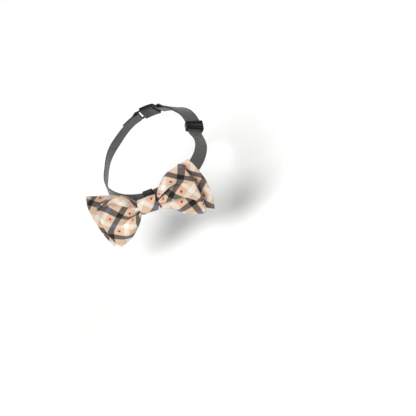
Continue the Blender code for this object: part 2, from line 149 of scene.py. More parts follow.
LEFT_FOLDS = (
    Fold("top edge", 0.00, (4.2, 8.8, 19.8, 23.4, 25.8), (0.6, 0.6, 0.8, 4.4, 10.2), -43.0),
    Fold("top shoulder", 0.08, (3.6, 9.6, 21.6, 23.6, 24.4), (0.8, 2.0, 4.4, 6.8, 10.2), -44.0),
    Fold("upper ridge", 0.17, (2.4, 8.0, 16.0, 22.2, 22.4), (1.0, 3.6, 7.0, 8.4, 9.4), -45.4),
    Fold("valley lip", 0.27, (1.2, 5.0, 9.5, 20.0, 19.6), (0.8, 3.0, 6.0, 6.4, 7.8), -46.8),
    Fold("deep valley", 0.38, (0.0, 2.3, 6.0, 16.0, 15.5), (0.3, 0.2, -2.8, 0.4, 5.6), -49.0),
    Fold("middle ridge", 0.56, (-1.6, -0.4, -0.5, 1.5, 1.5), (1.0, 2.0, 4.5, 4.5, 3.6), -53.0),
    Fold("soft valley", 0.71, (-3.4, -4.4, -8.6, -12.8, -14.0), (0.4, 0.8, 0.8, 1.8, 3.2), -54.6),
    Fold("lower ridge", 0.85, (-5.2, -8.6, -14.3, -21.5, -25.5), (0.9, 3.0, 6.5, 6.0, 4.6), -53.2),
    Fold("bottom edge", 1.00, (-6.6, -11.5, -19.5, -30.5, -36.8), (0.6, 0.0, 1.0, 2.5, 4.0), -50.2),
)

RIGHT_BACK_FOLDS = (
    Fold("top edge", 0.00, (2.6, 7.5, 13.5, 23.5, 30.0), (-3.6, -5.6, -9.0, -7.2, -5.0), 54.5),
    Fold("upper ridge", 0.25, (0.6, 3.5, 7.0, 14.0, 17.0), (-3.6, -5.5, -8.9, -7.0, -4.8), 58.0),
    Fold("middle valley", 0.50, (-1.5, -1.5, -1.5, -1.0, -1.5), (-3.6, -5.7, -9.6, -8.6, -6.0), 59.6),
    Fold("lower ridge", 0.75, (-3.6, -6.5, -10.0, -15.5, -19.5), (-3.6, -5.5, -8.9, -7.0, -4.8), 58.0),
    Fold("bottom edge", 1.00, (-5.6, -10.5, -17.0, -27.0, -36.2), (-3.6, -5.6, -9.0, -7.2, -5.0), 53.3),
)

LEFT_BACK_FOLDS = (
    Fold("top edge", 0.00, (2.6, 7.0, 12.5, 21.5, 30.2), (-3.6, -5.6, -9.0, -7.2, -4.2), -56.0),
    Fold("upper ridge", 0.25, (0.6, 3.5, 7.0, 13.0, 16.5), (-3.6, -5.5, -8.9, -7.0, -4.0), -61.0),
    Fold("middle valley", 0.50, (-1.5, -1.5, -1.5, -2.0, -3.5), (-3.6, -5.7, -9.6, -8.6, -5.2), -63.7),
    Fold("lower ridge", 0.75, (-3.6, -6.5, -10.5, -17.0, -24.0), (-3.6, -5.5, -8.9, -7.0, -4.0), -62.8),
    Fold("bottom edge", 1.00, (-5.6, -10.5, -18.0, -28.5, -38.8), (-3.6, -5.6, -9.0, -7.2, -4.2), -60.3),
)

# Front bow's rear ply at the five stations: depth in millimetres, and height as a share of
# the front ply's
REAR_DEPTH = (-1.8, -2.6, -5.2, -4.8, -4.0)
REAR_SHARE = (0.94, 0.85, 0.72, 0.78, 1.00)

# The crease that runs down and out from the knot over the left wing
LEFT_CREASES = (
    Crease(((-13.0, -5.2), (-17.5, -7.1), (-26.3, -10.0), (-36.4, -12.8), (-45.0, -13.0)), 2.0, 2.8),
)


def linear(hex_colour: str) -> tuple[float, float, float, float]:
    """Turn an sRGB hex colour into linear light.

    Args:
        hex_colour: six hex digits after a hash sign.

    Returns:
        Red, green, blue and an alpha of one.
    """
    channels = [int(hex_colour[i:i + 2], 16) / 255 for i in (1, 3, 5)]
    lit = [c / 12.92 if c <= 0.04045 else ((c + 0.055) / 1.055) ** 2.4 for c in channels]
    return (*lit, 1.0)


def add_node(
    tree: bpy.types.NodeTree,
    kind: str,
    settings: dict | None = None,
    inputs: dict | None = None,
    output: int | str = 0,
) -> bpy.types.NodeSocket | None:
    """Add a node, set its properties, and set or link its inputs.

    Args:
        tree: the tree that gets the node.
        kind: the node's type name.
        settings: property names and values.
        inputs: input indexes or names, each with a value or with a socket to link from.
        output: which output to hand back.

    Returns:
        That output socket, or None for a node without outputs.
    """
    node = tree.nodes.new(kind)
    for name, value in (settings or {}).items():
        setattr(node, name, value)
    for key, value in (inputs or {}).items():
        if isinstance(value, bpy.types.NodeSocket):
            tree.links.new(value, node.inputs[key])
        else:
            node.inputs[key].default_value = value
    return node.outputs[output] if len(node.outputs) else None


def new_material(name: str) -> tuple[bpy.types.Material, bpy.types.NodeTree, bpy.types.Node]:
    """Make a node material.

    Args:
        name: the material's name.

    Returns:
        The material, its tree and its Principled shader.
    """
    material = bpy.data.materials.new(name)
    material.use_nodes = True
    tree = material.node_tree
    return material, tree, tree.nodes["Principled BSDF"]


def add_object(name: str, data: bpy.types.ID) -> bpy.types.Object:
    """Add an object to the scene.

    Args:
        name: its name.
        data: its mesh, light or camera.

    Returns:
        The object, at the origin.
    """
    thing = bpy.data.objects.new(name, data)
    bpy.context.scene.collection.objects.link(thing)
    return thing


def flowing(knots: object, values: object, places: object) -> np.ndarray:
    """Read a smooth curve through (knots, values) that never overshoots.

    Args:
        knots: rising positions.
        values: the value at each knot.
        places: positions to read.

    Returns:
        The curve's value at each place.
    """
    knots = np.asarray(knots, float)
    values = np.asarray(values, float)
    places = np.asarray(places, float)
    step = np.diff(knots)
    rise = np.diff(values) / step
    slope = np.empty_like(values)
    slope[0] = rise[0]
    slope[-1] = rise[-1]
    turns = rise[:-1] * rise[1:] <= 0.0
    safe = np.where(turns, 1.0, rise[:-1] + rise[1:])
    slope[1:-1] = np.where(turns, 0.0, 2.0 * rise[:-1] * rise[1:] / safe)
    index = np.clip(np.searchsorted(knots, places, side="right") - 1, 0, len(step) - 1)
    share = (places - knots[index]) / step[index]
    square = share * share
    cube = square * share
    return (
        values[index] * (2.0 * cube - 3.0 * square + 1.0)
        + slope[index] * step[index] * (cube - 2.0 * square + share)
        + values[index + 1] * (3.0 * square - 2.0 * cube)
        + slope[index + 1] * step[index] * (cube - square)
    )


def smooth(share: np.ndarray) -> np.ndarray:
    """Ease a share from 0 to 1, held at both ends."""
    held = np.clip(share, 0.0, 1.0)
    return held * held * (3.0 - 2.0 * held)


def running_length(points: np.ndarray, axis: int) -> np.ndarray:
    """Measure along rows or columns of points.

    Args:
        points: an array whose last axis is a position.
        axis: the axis to run along.

    Returns:
        The length from the first point, in the shape of points without its last axis.
    """
    steps = np.linalg.norm(np.diff(points, axis=axis), axis=-1)
    start = np.zeros_like(np.take(points[..., 0], [0], axis=axis))
    return np.concatenate([start, np.cumsum(steps, axis=axis)], axis=axis)


def distance_to_line(x: np.ndarray, y: np.ndarray, line: object) -> tuple[np.ndarray, np.ndarray]:
    """Measure how far points are from a line of straight runs.

    Args:
        x: first coordinates.
        y: second coordinates.
        line: points of the line.

    Returns:
        The distance from the line, and the share of the line's length at the nearest point.
    """
    line = np.asarray(line, float)
    lengths = np.linalg.norm(np.diff(line, axis=0), axis=1)
    nearest = np.full(x.shape, np.inf)
    along = np.zeros(x.shape)
    passed = 0.0
    for start, end, length in zip(line[:-1], line[1:], lengths):
        way = (end - start) / length
        place = np.clip((x - start[0]) * way[0] + (y - start[1]) * way[1], 0.0, length)
        off = np.hypot(x - start[0] - place * way[0], y - start[1] - place * way[1])
        closer = off < nearest
        nearest = np.where(closer, off, nearest)
        along = np.where(closer, (passed + place) / lengths.sum(), along)
        passed += length
    return nearest, along


def grid_object(
    name: str,
    points: np.ndarray,
    flat: np.ndarray,
    material: bpy.types.Material,
    wrap_rows: bool = False,
    wrap_columns: bool = False,
    capped: bool = False,
) -> bpy.types.Object:
    """Make a mesh object from a grid of points.

    Args:
        name: the object's name.
        points: positions, as (rows, columns, 3).
        flat: flat-cut positions, with one more row or column where the grid wraps.
        material: the finish.
        wrap_rows: whether the last row joins the first.
        wrap_columns: whether the last column joins the first.
        capped: whether a face closes each end of the rows.

    Returns:
        The new object, at the origin.
    """
    rows, columns = points.shape[:2]
    row_steps = rows if wrap_rows else rows - 1
    column_steps = columns if wrap_columns else columns - 1
    row, column = np.meshgrid(np.arange(row_steps), np.arange(column_steps), indexing="ij")
    corners = ((row, column), (row, column + 1), (row + 1, column + 1), (row + 1, column))
    used = np.stack([(r % rows) * columns + c % columns for r, c in corners], axis=-1)
    uv = np.stack([flat[r, c] for r, c in corners], axis=2).reshape(-1, 2)
    faces = used.reshape(-1, 4).tolist()
    if capped:
        last = (rows - 1) * columns
        faces.append(list(range(columns))[::-1])
        faces.append(list(range(last, last + columns)))
        uv = np.concatenate([uv, flat[0, :columns][::-1], flat[-1, :columns]])
    mesh = bpy.data.meshes.new(name)
    mesh.from_pydata(points.reshape(-1, 3).tolist(), [], faces)
    layer = mesh.uv_layers.new(name=FLAT_MAP)
    layer.data.foreach_set("uv", uv.astype(np.float32).ravel())
    mesh.materials.append(material)
    mesh.shade_smooth()
    return add_object(name, mesh)


def face_outward(thing: bpy.types.Object) -> None:
    """Turn a closed mesh's faces outward."""
    shape = bmesh.new()
    shape.from_mesh(thing.data)
    bmesh.ops.recalc_face_normals(shape, faces=shape.faces)
    shape.to_mesh(thing.data)
    shape.free()


def thicken(thing: bpy.types.Object, wall: float, smoothing: int) -> None:
    """Give a sheet its wall and round its edges.

    Args:
        thing: a sheet drawn as its middle surface.
        wall: the thickness.
        smoothing: how many times the surface is subdivided.
    """
    solidify = thing.modifiers.new("Wall", "SOLIDIFY")
    solidify.thickness = wall
    solidify.offset = 0.0
    solidify.use_even_offset = True
    subdivide = thing.modifiers.new("Soft edges", "SUBSURF")
    subdivide.levels = smoothing
    subdivide.render_levels = smoothing


def place_piece(thing: bpy.types.Object, nodes: tuple[str, ...] = ()) -> None:
    """Let a finished piece ride on the part, in place of the nodes that it stands for.

    Args:
        thing: the finished piece.
        nodes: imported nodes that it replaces.
    """
    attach(thing, BODY)
    if nodes:
        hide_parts(*nodes)
    LOG.info("%s: %d faces before its modifiers", thing.name, len(thing.data.polygons))


@dataclass(frozen=True)
class CheckedCotton:
    """Yarn-dyed cotton twill with a bias check, lengths in millimetres.

    Sand, charcoal and cream yarns cross each other, so a crossing of two colours shows their
    halftone with a fine diagonal hatch. Small red dots are woven into every second sand square.
    The cloth is matt, with a faint bloom of fibre ends at grazing angles.
    """

    sand: str = "#C2A78F"
    cream_over_sand: str = "#CFC0B0"
    cream: str = "#D6D2CC"
    charcoal_over_sand: str = "#665B54"
    charcoal_over_cream: str = "#6E7080"
    charcoal: str = "#0C0B0E"
    red: str = "#B4262C"
    period: float = 29.0
    charcoal_half: float = 3.0
    cream_half: float = 2.5
    edge: float = 0.22
    dot_radius: float = 1.35
    dot_edge: float = 0.3
    # The real twill is about 0.5 mm; it is drawn coarser so that the hatch shows
    twill: float = 1.5
    # Where both yarns share a colour the hatch is painted shade in the twill's grooves; in the halftones
    # it is the yarns' own colours
    plain_twill_shade: float = 0.07
    halftone_hatch: float = 0.60
    yarn: float = 0.5
    roughness: float = 0.82

    def material(self) -> bpy.types.Material:
        """Build the cloth's material on its flat-cut UV map."""
        material, tree, shader = new_material("Cotton twill, yarn-dyed check")
        flat = add_node(tree, "ShaderNodeUVMap", {"uv_map": FLAT_MAP})
        turned = add_node(tree, "ShaderNodeMapping", {}, {
            "Vector": flat,
            "Rotation": (0.0, 0.0, math.radians(45.0)),
            "Scale": (1.0 / MM, 1.0 / MM, 1.0),
        })
        split = add_node(tree, "ShaderNodeSeparateXYZ", {}, {0: turned}).node
        yarns = (split.outputs[0], split.outputs[1])
        stripes = [self.stripe(tree, yarn) for yarn in yarns]
        colour = self.crossings(tree, stripes)
        colour = self.dots(tree, stripes, colour)
        hatch = self.hatch(tree, yarns)
        colour = self.shade(tree, flat, hatch, stripes, colour)
        tree.links.new(colour, shader.inputs["Base Color"])
        tree.links.new(self.relief(tree, flat, yarns, hatch), shader.inputs["Normal"])
        shader.inputs["Roughness"].default_value = self.roughness
        shader.inputs["Sheen Weight"].default_value = 0.18
        shader.inputs["Sheen Roughness"].default_value = 0.45
        shader.inputs["Specular IOR Level"].default_value = 0.3
        return material

    def stripe(self, tree: bpy.types.NodeTree, yarn: bpy.types.NodeSocket) -> dict:
        """Find one set of yarns' stripes.

        Args:
            tree: the material's tree.
            yarn: position across the yarns, in millimetres.

        Returns:
            Sockets: distance from a charcoal stripe's middle, charcoal and cream masks, and
            the signed share of the period.
        """
        turns = add_node(tree, "ShaderNodeMath", {"operation": "DIVIDE"}, {0: yarn, 1: self.period})
        share = add_node(tree, "ShaderNodeMath", {"operation": "FRACT"}, {0: turns})
        signed = add_node(tree, "ShaderNodeMath", {"operation": "SUBTRACT"}, {0: share, 1: 0.5})
        off = add_node(tree, "ShaderNodeMath", {"operation": "ABSOLUTE"}, {0: signed})
        off = add_node(tree, "ShaderNodeMath", {"operation": "MULTIPLY"}, {0: off, 1: self.period})
        soft = {"interpolation_type": "SMOOTHSTEP"}
        charcoal = add_node(tree, "ShaderNodeMapRange", soft, {
            "Value": off,
            "From Min": self.charcoal_half + self.edge,
            "From Max": self.charcoal_half - self.edge,
        })
        cream_from = 0.5 * self.period - self.cream_half
        cream = add_node(tree, "ShaderNodeMapRange", soft, {
            "Value": off,
            "From Min": cream_from - self.edge,
            "From Max": cream_from + self.edge,
        })
        return {"off": off, "charcoal": charcoal, "cream": cream, "signed": signed}

    def crossings(self, tree: bpy.types.NodeTree, stripes: list[dict]) -> bpy.types.NodeSocket:
        """Colour each crossing of the two sets of yarns.

        Args:
            tree: the material's tree.
            stripes: what stripe() found for each set.

        Returns:
            The colour socket.
        """
        masks = {}
        for name in ("charcoal", "cream"):
            pair = {0: stripes[0][name], 1: stripes[1][name]}
            masks[name, "any"] = add_node(tree, "ShaderNodeMath", {"operation": "MAXIMUM"}, pair)
            masks[name, "both"] = add_node(tree, "ShaderNodeMath", {"operation": "MULTIPLY"}, pair)
        mix = {"data_type": "RGBA"}
        ground = add_node(tree, "ShaderNodeMix", mix, {
            0: masks["cream", "any"], 6: linear(self.sand), 7: linear(self.cream_over_sand),
        }, 2)
        ground = add_node(tree, "ShaderNodeMix", mix, {
            0: masks["cream", "both"], 6: ground, 7: linear(self.cream),
        }, 2)
        halftone = add_node(tree, "ShaderNodeMix", mix, {
            0: masks["cream", "any"],
            6: linear(self.charcoal_over_sand),
            7: linear(self.charcoal_over_cream),
        }, 2)
        colour = add_node(tree, "ShaderNodeMix", mix, {
            0: masks["charcoal", "any"], 6: ground, 7: halftone,
        }, 2)
        return add_node(tree, "ShaderNodeMix", mix, {
            0: masks["charcoal", "both"], 6: colour, 7: linear(self.charcoal),
        }, 2)

    def dots(
        self, tree: bpy.types.NodeTree, stripes: list[dict], colour: bpy.types.NodeSocket
    ) -> bpy.types.NodeSocket:
        """Weave a red dot into every second sand square.

        Args:
            tree: the material's tree.
            stripes: what stripe() found for each set.
            colour: the check's colour.

        Returns:
            The colour with its dots.
        """
        middle = 0.5 * (self.charcoal_half + 0.5 * self.period - self.cream_half)
        off = [
            add_node(tree, "ShaderNodeMath", {"operation": "SUBTRACT"}, {0: s["off"], 1: middle})
            for s in stripes
        ]
        flat = add_node(tree, "ShaderNodeCombineXYZ", {}, {0: off[0], 1: off[1]})
        away = add_node(tree, "ShaderNodeVectorMath", {"operation": "LENGTH"}, {0: flat}, "Value")
        dot = add_node(tree, "ShaderNodeMapRange", {"interpolation_type": "SMOOTHSTEP"}, {
            "Value": away,
            "From Min": self.dot_radius + self.dot_edge,
            "From Max": self.dot_radius - self.dot_edge,
        })
        sides = add_node(tree, "ShaderNodeMath", {"operation": "MULTIPLY"}, {
            0: stripes[0]["signed"], 1: stripes[1]["signed"],
        })
        chosen = add_node(tree, "ShaderNodeMath", {"operation": "GREATER_THAN"}, {0: sides, 1: 0.0})
        dot = add_node(tree, "ShaderNodeMath", {"operation": "MULTIPLY"}, {0: dot, 1: chosen})
        return add_node(tree, "ShaderNodeMix", {"data_type": "RGBA"}, {
            0: dot, 6: colour, 7: linear(self.red),
        }, 2)

    def hatch(self, tree: bpy.types.NodeTree, yarns: tuple) -> bpy.types.NodeSocket:
        """Draw the twill's fine diagonal, from 0 to 1."""
        total = add_node(tree, "ShaderNodeMath", {"operation": "ADD"}, {0: yarns[0], 1: yarns[1]})
        turn = add_node(tree, "ShaderNodeMath", {"operation": "MULTIPLY"}, {
            0: total, 1: 2.0 * math.pi / (self.twill * math.sqrt(2.0)),
        })
        wave = add_node(tree, "ShaderNodeMath", {"operation": "SINE"}, {0: turn})
        return add_node(tree, "ShaderNodeMapRange", {}, {"Value": wave, "From Min": -1.0})

    def shade(
        self,
        tree: bpy.types.NodeTree,
        flat: bpy.types.NodeSocket,
        hatch: bpy.types.NodeSocket,
        stripes: list[dict],
        colour: bpy.types.NodeSocket,
    ) -> bpy.types.NodeSocket:
        """Darken the colour along the twill and by uneven yarns: in the halftones the hatch is the
        yarns' own colours, and where both yarns share a colour it is painted shade in the twill's
        grooves.

        Args:
            tree: the material's tree.
            flat: flat-cut positions.
            hatch: the twill's diagonal.
            stripes: what stripe() found for each set.
            colour: the check's colour.

        Returns:
            The shaded colour.
        """
        pair = {0: stripes[0]["charcoal"], 1: stripes[1]["charcoal"]}
        one = add_node(tree, "ShaderNodeMath", {"operation": "SUBTRACT"}, pair)
        one = add_node(tree, "ShaderNodeMath", {"operation": "ABSOLUTE"}, {0: one})
        # Weak where both yarns share a colour, as painted shade in the twill's grooves; strong in the
        # halftones, as the yarns' own colours
        depth = add_node(tree, "ShaderNodeMapRange", {}, {
            "Value": one, "To Min": self.plain_twill_shade, "To Max": self.halftone_hatch,
        })
        dark = add_node(tree, "ShaderNodeMath", {"operation": "MULTIPLY"}, {0: hatch, 1: depth})
        slub = add_node(tree, "ShaderNodeTexNoise", {}, {
            "Vector": flat, "Scale": 900.0, "Detail": 3.0, "Roughness": 0.6,
        })
        slub = add_node(tree, "ShaderNodeMapRange", {}, {
            "Value": slub, "From Min": 0.3, "From Max": 0.7, "To Min": -0.05, "To Max": 0.09,
        })
        dark = add_node(tree, "ShaderNodeMath", {"operation": "ADD"}, {0: dark, 1: slub})
        light = add_node(tree, "ShaderNodeMath", {"operation": "SUBTRACT"}, {0: 1.1, 1: dark})
        return add_node(tree, "ShaderNodeVectorMath", {"operation": "MULTIPLY"}, {
            0: colour, 1: light,
        })

    def relief(
        self,
        tree: bpy.types.NodeTree,
        flat: bpy.types.NodeSocket,
        yarns: tuple,
        hatch: bpy.types.NodeSocket,
    ) -> bpy.types.NodeSocket:
        """Raise the yarns, the twill and small crumples.

        Args:
            tree: the material's tree.
            flat: flat-cut positions.
            yarns: positions across both sets of yarns, in millimetres.
            hatch: the twill's diagonal.

        Returns:
            The bump's normal.
        """
        waves = []
        for yarn in yarns:
            turn = add_node(tree, "ShaderNodeMath", {"operation": "MULTIPLY"}, {
                0: yarn, 1: 2.0 * math.pi / self.yarn,
            })
            waves.append(add_node(tree, "ShaderNodeMath", {"operation": "SINE"}, {0: turn}))
        knit = add_node(tree, "ShaderNodeMath", {"operation": "MULTIPLY"}, {0: waves[0], 1: waves[1]})
        weave = add_node(tree, "ShaderNodeMath", {"operation": "ADD"}, {0: knit, 1: hatch})
        fine = add_node(tree, "ShaderNodeBump", {}, {
            "Strength": 0.35, "Distance": 0.00012, "Height": weave,
        })
        crumple = add_node(tree, "ShaderNodeTexNoise", {}, {
            "Vector": flat, "Scale": 150.0, "Detail": 3.0, "Roughness": 0.5,
        })
        return add_node(tree, "ShaderNodeBump", {}, {
            "Strength": 0.35, "Distance": 0.0007, "Height": crumple, "Normal": fine,
        })


@dataclass(frozen=True)
class WovenWebbing:
    """Woven polypropylene webbing or elastic, lengths in millimetres.

    Narrow ribs run along it and are tied by picks across it, which gives a fine broken grid, painted as
    shade in its grooves and as highlight on its ribs and picks, over uneven tone from slubs.
    The filaments are smooth, so it has a soft sheen along its ribs.
    """

    name: str
    low: str
    high: str
    rib: float
    pick: float
    roughness: float
    relief: float

    def material(self) -> bpy.types.Material:
        """Build the webbing's material on its flat-cut UV map."""
        material, tree, shader = new_material(self.name)
        flat = add_node(tree, "ShaderNodeUVMap", {"uv_map": FLAT_MAP})
        split = add_node(tree, "ShaderNodeSeparateXYZ", {}, {0: flat}).node
        pitches = (self.pick * MM, self.rib * MM)
        turns = [
            add_node(tree, "ShaderNodeMath", {"operation": "MULTIPLY"}, {
                0: split.outputs[axis], 1: 2.0 * math.pi / pitch,
            })
            for axis, pitch in enumerate(pitches)
        ]
        half = add_node(tree, "ShaderNodeMath", {"operation": "MULTIPLY"}, {0: turns[1], 1: 0.5})
        sway = add_node(tree, "ShaderNodeMath", {"operation": "SINE"}, {0: half})
        sway = add_node(tree, "ShaderNodeMath", {"operation": "SIGN"}, {0: sway})
        sway = add_node(tree, "ShaderNodeMath", {"operation": "MULTIPLY"}, {0: sway, 1: 0.5 * math.pi})
        pick = add_node(tree, "ShaderNodeMath", {"operation": "ADD"}, {0: turns[0], 1: sway})
        pick = add_node(tree, "ShaderNodeMath", {"operation": "SINE"}, {0: pick})
        rib = add_node(tree, "ShaderNodeMath", {"operation": "COSINE"}, {0: turns[1]})
        rib = add_node(tree, "ShaderNodeMath", {"operation": "MULTIPLY"}, {0: rib, 1: 0.7})
        weave = add_node(tree, "ShaderNodeMath", {"operation": "SUBTRACT"}, {0: pick, 1: rib})
        slub = add_node(tree, "ShaderNodeTexNoise", {}, {
            "Vector": flat, "Scale": 420.0, "Detail": 4.0, "Roughness": 0.65,
        })
        slub = add_node(tree, "ShaderNodeMapRange", {}, {
            "Value": slub, "From Min": 0.25, "From Max": 0.75, "To Min": -0.5, "To Max": 0.5,
        })
        shown = add_node(tree, "ShaderNodeMath", {"operation": "ADD"}, {0: weave, 1: slub})
        share = add_node(tree, "ShaderNodeMapRange", {}, {
            "Value": shown, "From Min": -1.8, "From Max": 1.8,
        })
        # low is painted shade in the weave's grooves and high is painted highlight on its ribs and
        # picks, mixed with the slubs' uneven tone
        colour = add_node(tree, "ShaderNodeMix", {"data_type": "RGBA"}, {
            0: share, 6: linear(self.low), 7: linear(self.high),
        }, 2)
        tree.links.new(colour, shader.inputs["Base Color"])
        bump = add_node(tree, "ShaderNodeBump", {}, {
            "Strength": self.relief, "Distance": 0.0002, "Height": weave,
        })
        tree.links.new(bump, shader.inputs["Normal"])
        shader.inputs["Roughness"].default_value = self.roughness
        shader.inputs["Sheen Weight"].default_value = 0.25
        shader.inputs["Sheen Roughness"].default_value = 0.35
        return material


@dataclass(frozen=True)
class MouldedAcetal:
    """Injection-moulded black acetal: satin, with the fine grain of a spark-eroded mould."""

    colour: str = "#050506"
    # The real grain is about 0.1 mm, too fine to show, so it is drawn at 0.4 mm
    grain: float = 2400.0

    def material(self) -> bpy.types.Material:
        """Build the plastic's material on object coordinates."""
        material, tree, shader = new_material("Acetal, moulded black")
        place = add_node(tree, "ShaderNodeTexCoord", {}, {}, "Object")
        grain = add_node(tree, "ShaderNodeTexNoise", {}, {
            "Vector": place, "Scale": self.grain, "Detail": 2.0, "Roughness": 0.5,
        })
        flow = add_node(tree, "ShaderNodeTexNoise", {}, {
            "Vector": place, "Scale": 160.0, "Detail": 3.0, "Roughness": 0.6,
        })
        gloss = add_node(tree, "ShaderNodeMapRange", {}, {
            "Value": flow, "From Min": 0.3, "From Max": 0.7, "To Min": 0.28, "To Max": 0.42,
        })
        bump = add_node(tree, "ShaderNodeBump", {}, {
            "Strength": 0.12, "Distance": 0.0001, "Height": grain,
        })
        tree.links.new(gloss, shader.inputs["Roughness"])
        tree.links.new(bump, shader.inputs["Normal"])
        shader.inputs["Base Color"].default_value = linear(self.colour)
        shader.inputs["IOR"].default_value = 1.48
        shader.inputs["Specular IOR Level"].default_value = 0.35
        return material


@dataclass(frozen=True)
class SewingThread:
    """Spun polyester sewing thread: matt and tightly twisted, with painted shade in the grooves of its
    twist.
    """

    name: str
    colour: str
    shadow: str

    def material(self) -> bpy.types.Material:
        """Build the thread's material on object coordinates."""
        material, tree, shader = new_material(self.name)
        place = add_node(tree, "ShaderNodeTexCoord", {}, {}, "Object")
        twist = add_node(tree, "ShaderNodeTexWave", {"bands_direction": "DIAGONAL"}, {
            "Vector": place, "Scale": 1300.0, "Distortion": 1.5,
        })
        # shadow is painted shade in the twist's grooves; colour is the thread's own colour
        colour = add_node(tree, "ShaderNodeMix", {"data_type": "RGBA"}, {
            0: twist, 6: linear(self.shadow), 7: linear(self.colour),
        }, 2)
        bump = add_node(tree, "ShaderNodeBump", {}, {
            "Strength": 0.4, "Distance": 0.00005, "Height": twist,
        }, 0)
        tree.links.new(colour, shader.inputs["Base Color"])
        tree.links.new(bump, shader.inputs["Normal"])
        shader.inputs["Roughness"].default_value = 0.6
        return material


@dataclass(frozen=True)
class Wing:
    """One side of a bow, read from its table of folds, lengths in metres."""

    folds: tuple[Fold, ...]
    ridges: tuple[float, ...]
    valleys: tuple[float, ...] = ()
    creases: tuple[Crease, ...] = ()
    knot_x: float = -0.0017
    pinch_half: float = 0.0109
    cloth_width: float = 0.070
    valley_blend: float = 0.07
    # Small pleats rise over the first share of the wing, and fade between the next two
    pleat_height: float = 0.00042
    pleats: float = 7.0
    pleat_rise: float = 0.05
    pleat_full: float = 0.08
    pleat_end: float = 0.50
    # Turns of the two long ripples over the wing, outward and down
    ripple_height: float = 0.00028
    wide_turns: tuple[float, float] = (1.15, 2.4)
    long_turns: tuple[float, float] = (-0.7, 3.4)

    @property
    def side(self) -> float:
        """Return 1 for the wing at +X and -1 for the other."""
        return math.copysign(1.0, self.folds[0].reach)

    @property
    def pinch(self) -> float:
        """Return where the pinch is along X."""
        return self.knot_x + self.side * self.pinch_half

    def read(
        self, folds: tuple[Fold, ...], shares: np.ndarray, across: np.ndarray
    ) -> np.ndarray:
        """Read a surface from a table of folds.

        Args:
            folds: the table.
            shares: shares of the way out from the pinch, one for each row.
            across: shares of the way down, one for each column.

        Returns:
            Positions as (x, height, depth).
        """
        shares = np.asarray(shares, float)
        places = [fold.across for fold in folds]
        by_fold = [
            np.array([flowing(STATIONS, getattr(fold, name), shares) for fold in folds])
            for name in ("height", "depth")
        ]
        read = [
            np.array([flowing(places, values[:, row], across) for row in range(len(shares))])
            for values in by_fold
        ]
        reaches = flowing(places, [fold.reach for fold in folds], across) * MM
        x = self.pinch + (reaches - self.pinch) * shares[:, None]
        return np.stack([x, read[0] * MM, read[1] * MM], axis=2)

    def surface(self, shares: np.ndarray, across: np.ndarray) -> np.ndarray:
        """Return the wing's middle surface with its pleats, ripples and creases.

        Args:
            shares: shares of the way out from the pinch.
            across: shares of the way down.

        Returns:
            Positions as (x, height, depth).
        """
        points = self.read(self.folds, shares, across)
        share = np.asarray(shares, float)[:, None]
        down = np.asarray(across, float)[None, :]
        gone = (share - self.pleat_full) / (self.pleat_end - self.pleat_full)
        fade = smooth(share / self.pleat_rise) * (1.0 - smooth(gone))
        full_turn = 2.0 * math.pi
        phase = full_turn * (self.pleats * down + 0.35 * self.side * share)
        pleats = np.sin(phase) + 0.35 * np.sin(1.9 * phase + 1.0)
        outward, downward = self.wide_turns
        wide = np.sin(full_turn * (outward * share + downward * down + 0.2 * self.side))
        outward, downward = self.long_turns
        long = np.sin(full_turn * (outward * share + downward * down) + 1.3 * self.side)
        ripple = (0.6 * wide + 0.4 * long) * smooth(share / 0.3) * (1.0 - 0.6 * share)
        points[..., 2] += self.pleat_height * fade * pleats + self.ripple_height * ripple
        for crease in self.creases:
            off, along = distance_to_line(points[..., 0] / MM, points[..., 1] / MM, crease.line)
            press = np.clip(1.0 - off / crease.half_width, 0.0, 1.0) ** 1.5
            ends = smooth(along / 0.12) * smooth((1.0 - along) / 0.45)
            points[..., 2] -= crease.depth * MM * press * ends
        return points

    def flat_cut(self, surface: np.ndarray, across: np.ndarray) -> np.ndarray:
        """Find where each point lies on the flat cut, lobe by lobe.

        The cloth is unrolled at its real size from each ridge. Lobes meet at the outer edge, and
        the cloth that the pleats take up is hidden in the valleys towards the knot.

        Args:
            surface: the wing's middle surface.
            across: shares of the way down.

        Returns:
            Positions on the flat cut as (out, down).
        """
        arc = running_length(surface, 1)
        lobes = []
        for ridge in self.ridges:
            column = int(np.argmin(np.abs(across - ridge)))
            line = surface[:, column]
            start = len(line) // 4
            rise = line[-1, 1] - line[start, 1]
            slant = math.atan2(rise, abs(line[-1, 0] - line[start, 0]))
            beside = arc - arc[:, column:column + 1]
            out = running_length(line, 0)[:, None] - beside * math.sin(slant)
            down = self.cloth_width * (ridge - 0.5) + beside * math.cos(slant)
            lobes.append(np.stack([self.side * out, down], axis=2))
        flat = lobes[0]
        for valley, following in zip(self.valleys, lobes[1:]):
            column = int(np.argmin(np.abs(across - valley)))
            met = following + flat[-1, column] - following[-1, column]
            share = smooth((across - valley) / self.valley_blend + 0.5)[None, :, None]
            flat = flat * (1.0 - share) + met * share
        return flat


def to_world(surface: np.ndarray, plane: float) -> np.ndarray:
    """Turn (x, height, depth) of the bow into the part's frame.

    Args:
        surface: positions as (x, height, depth).
        plane: how far the bow's plane is from the neck's axis.

    Returns:
        Positions as (x, y, z).
    """
    return np.stack([surface[..., 0], -(plane + surface[..., 2]), surface[..., 1]], axis=-1)


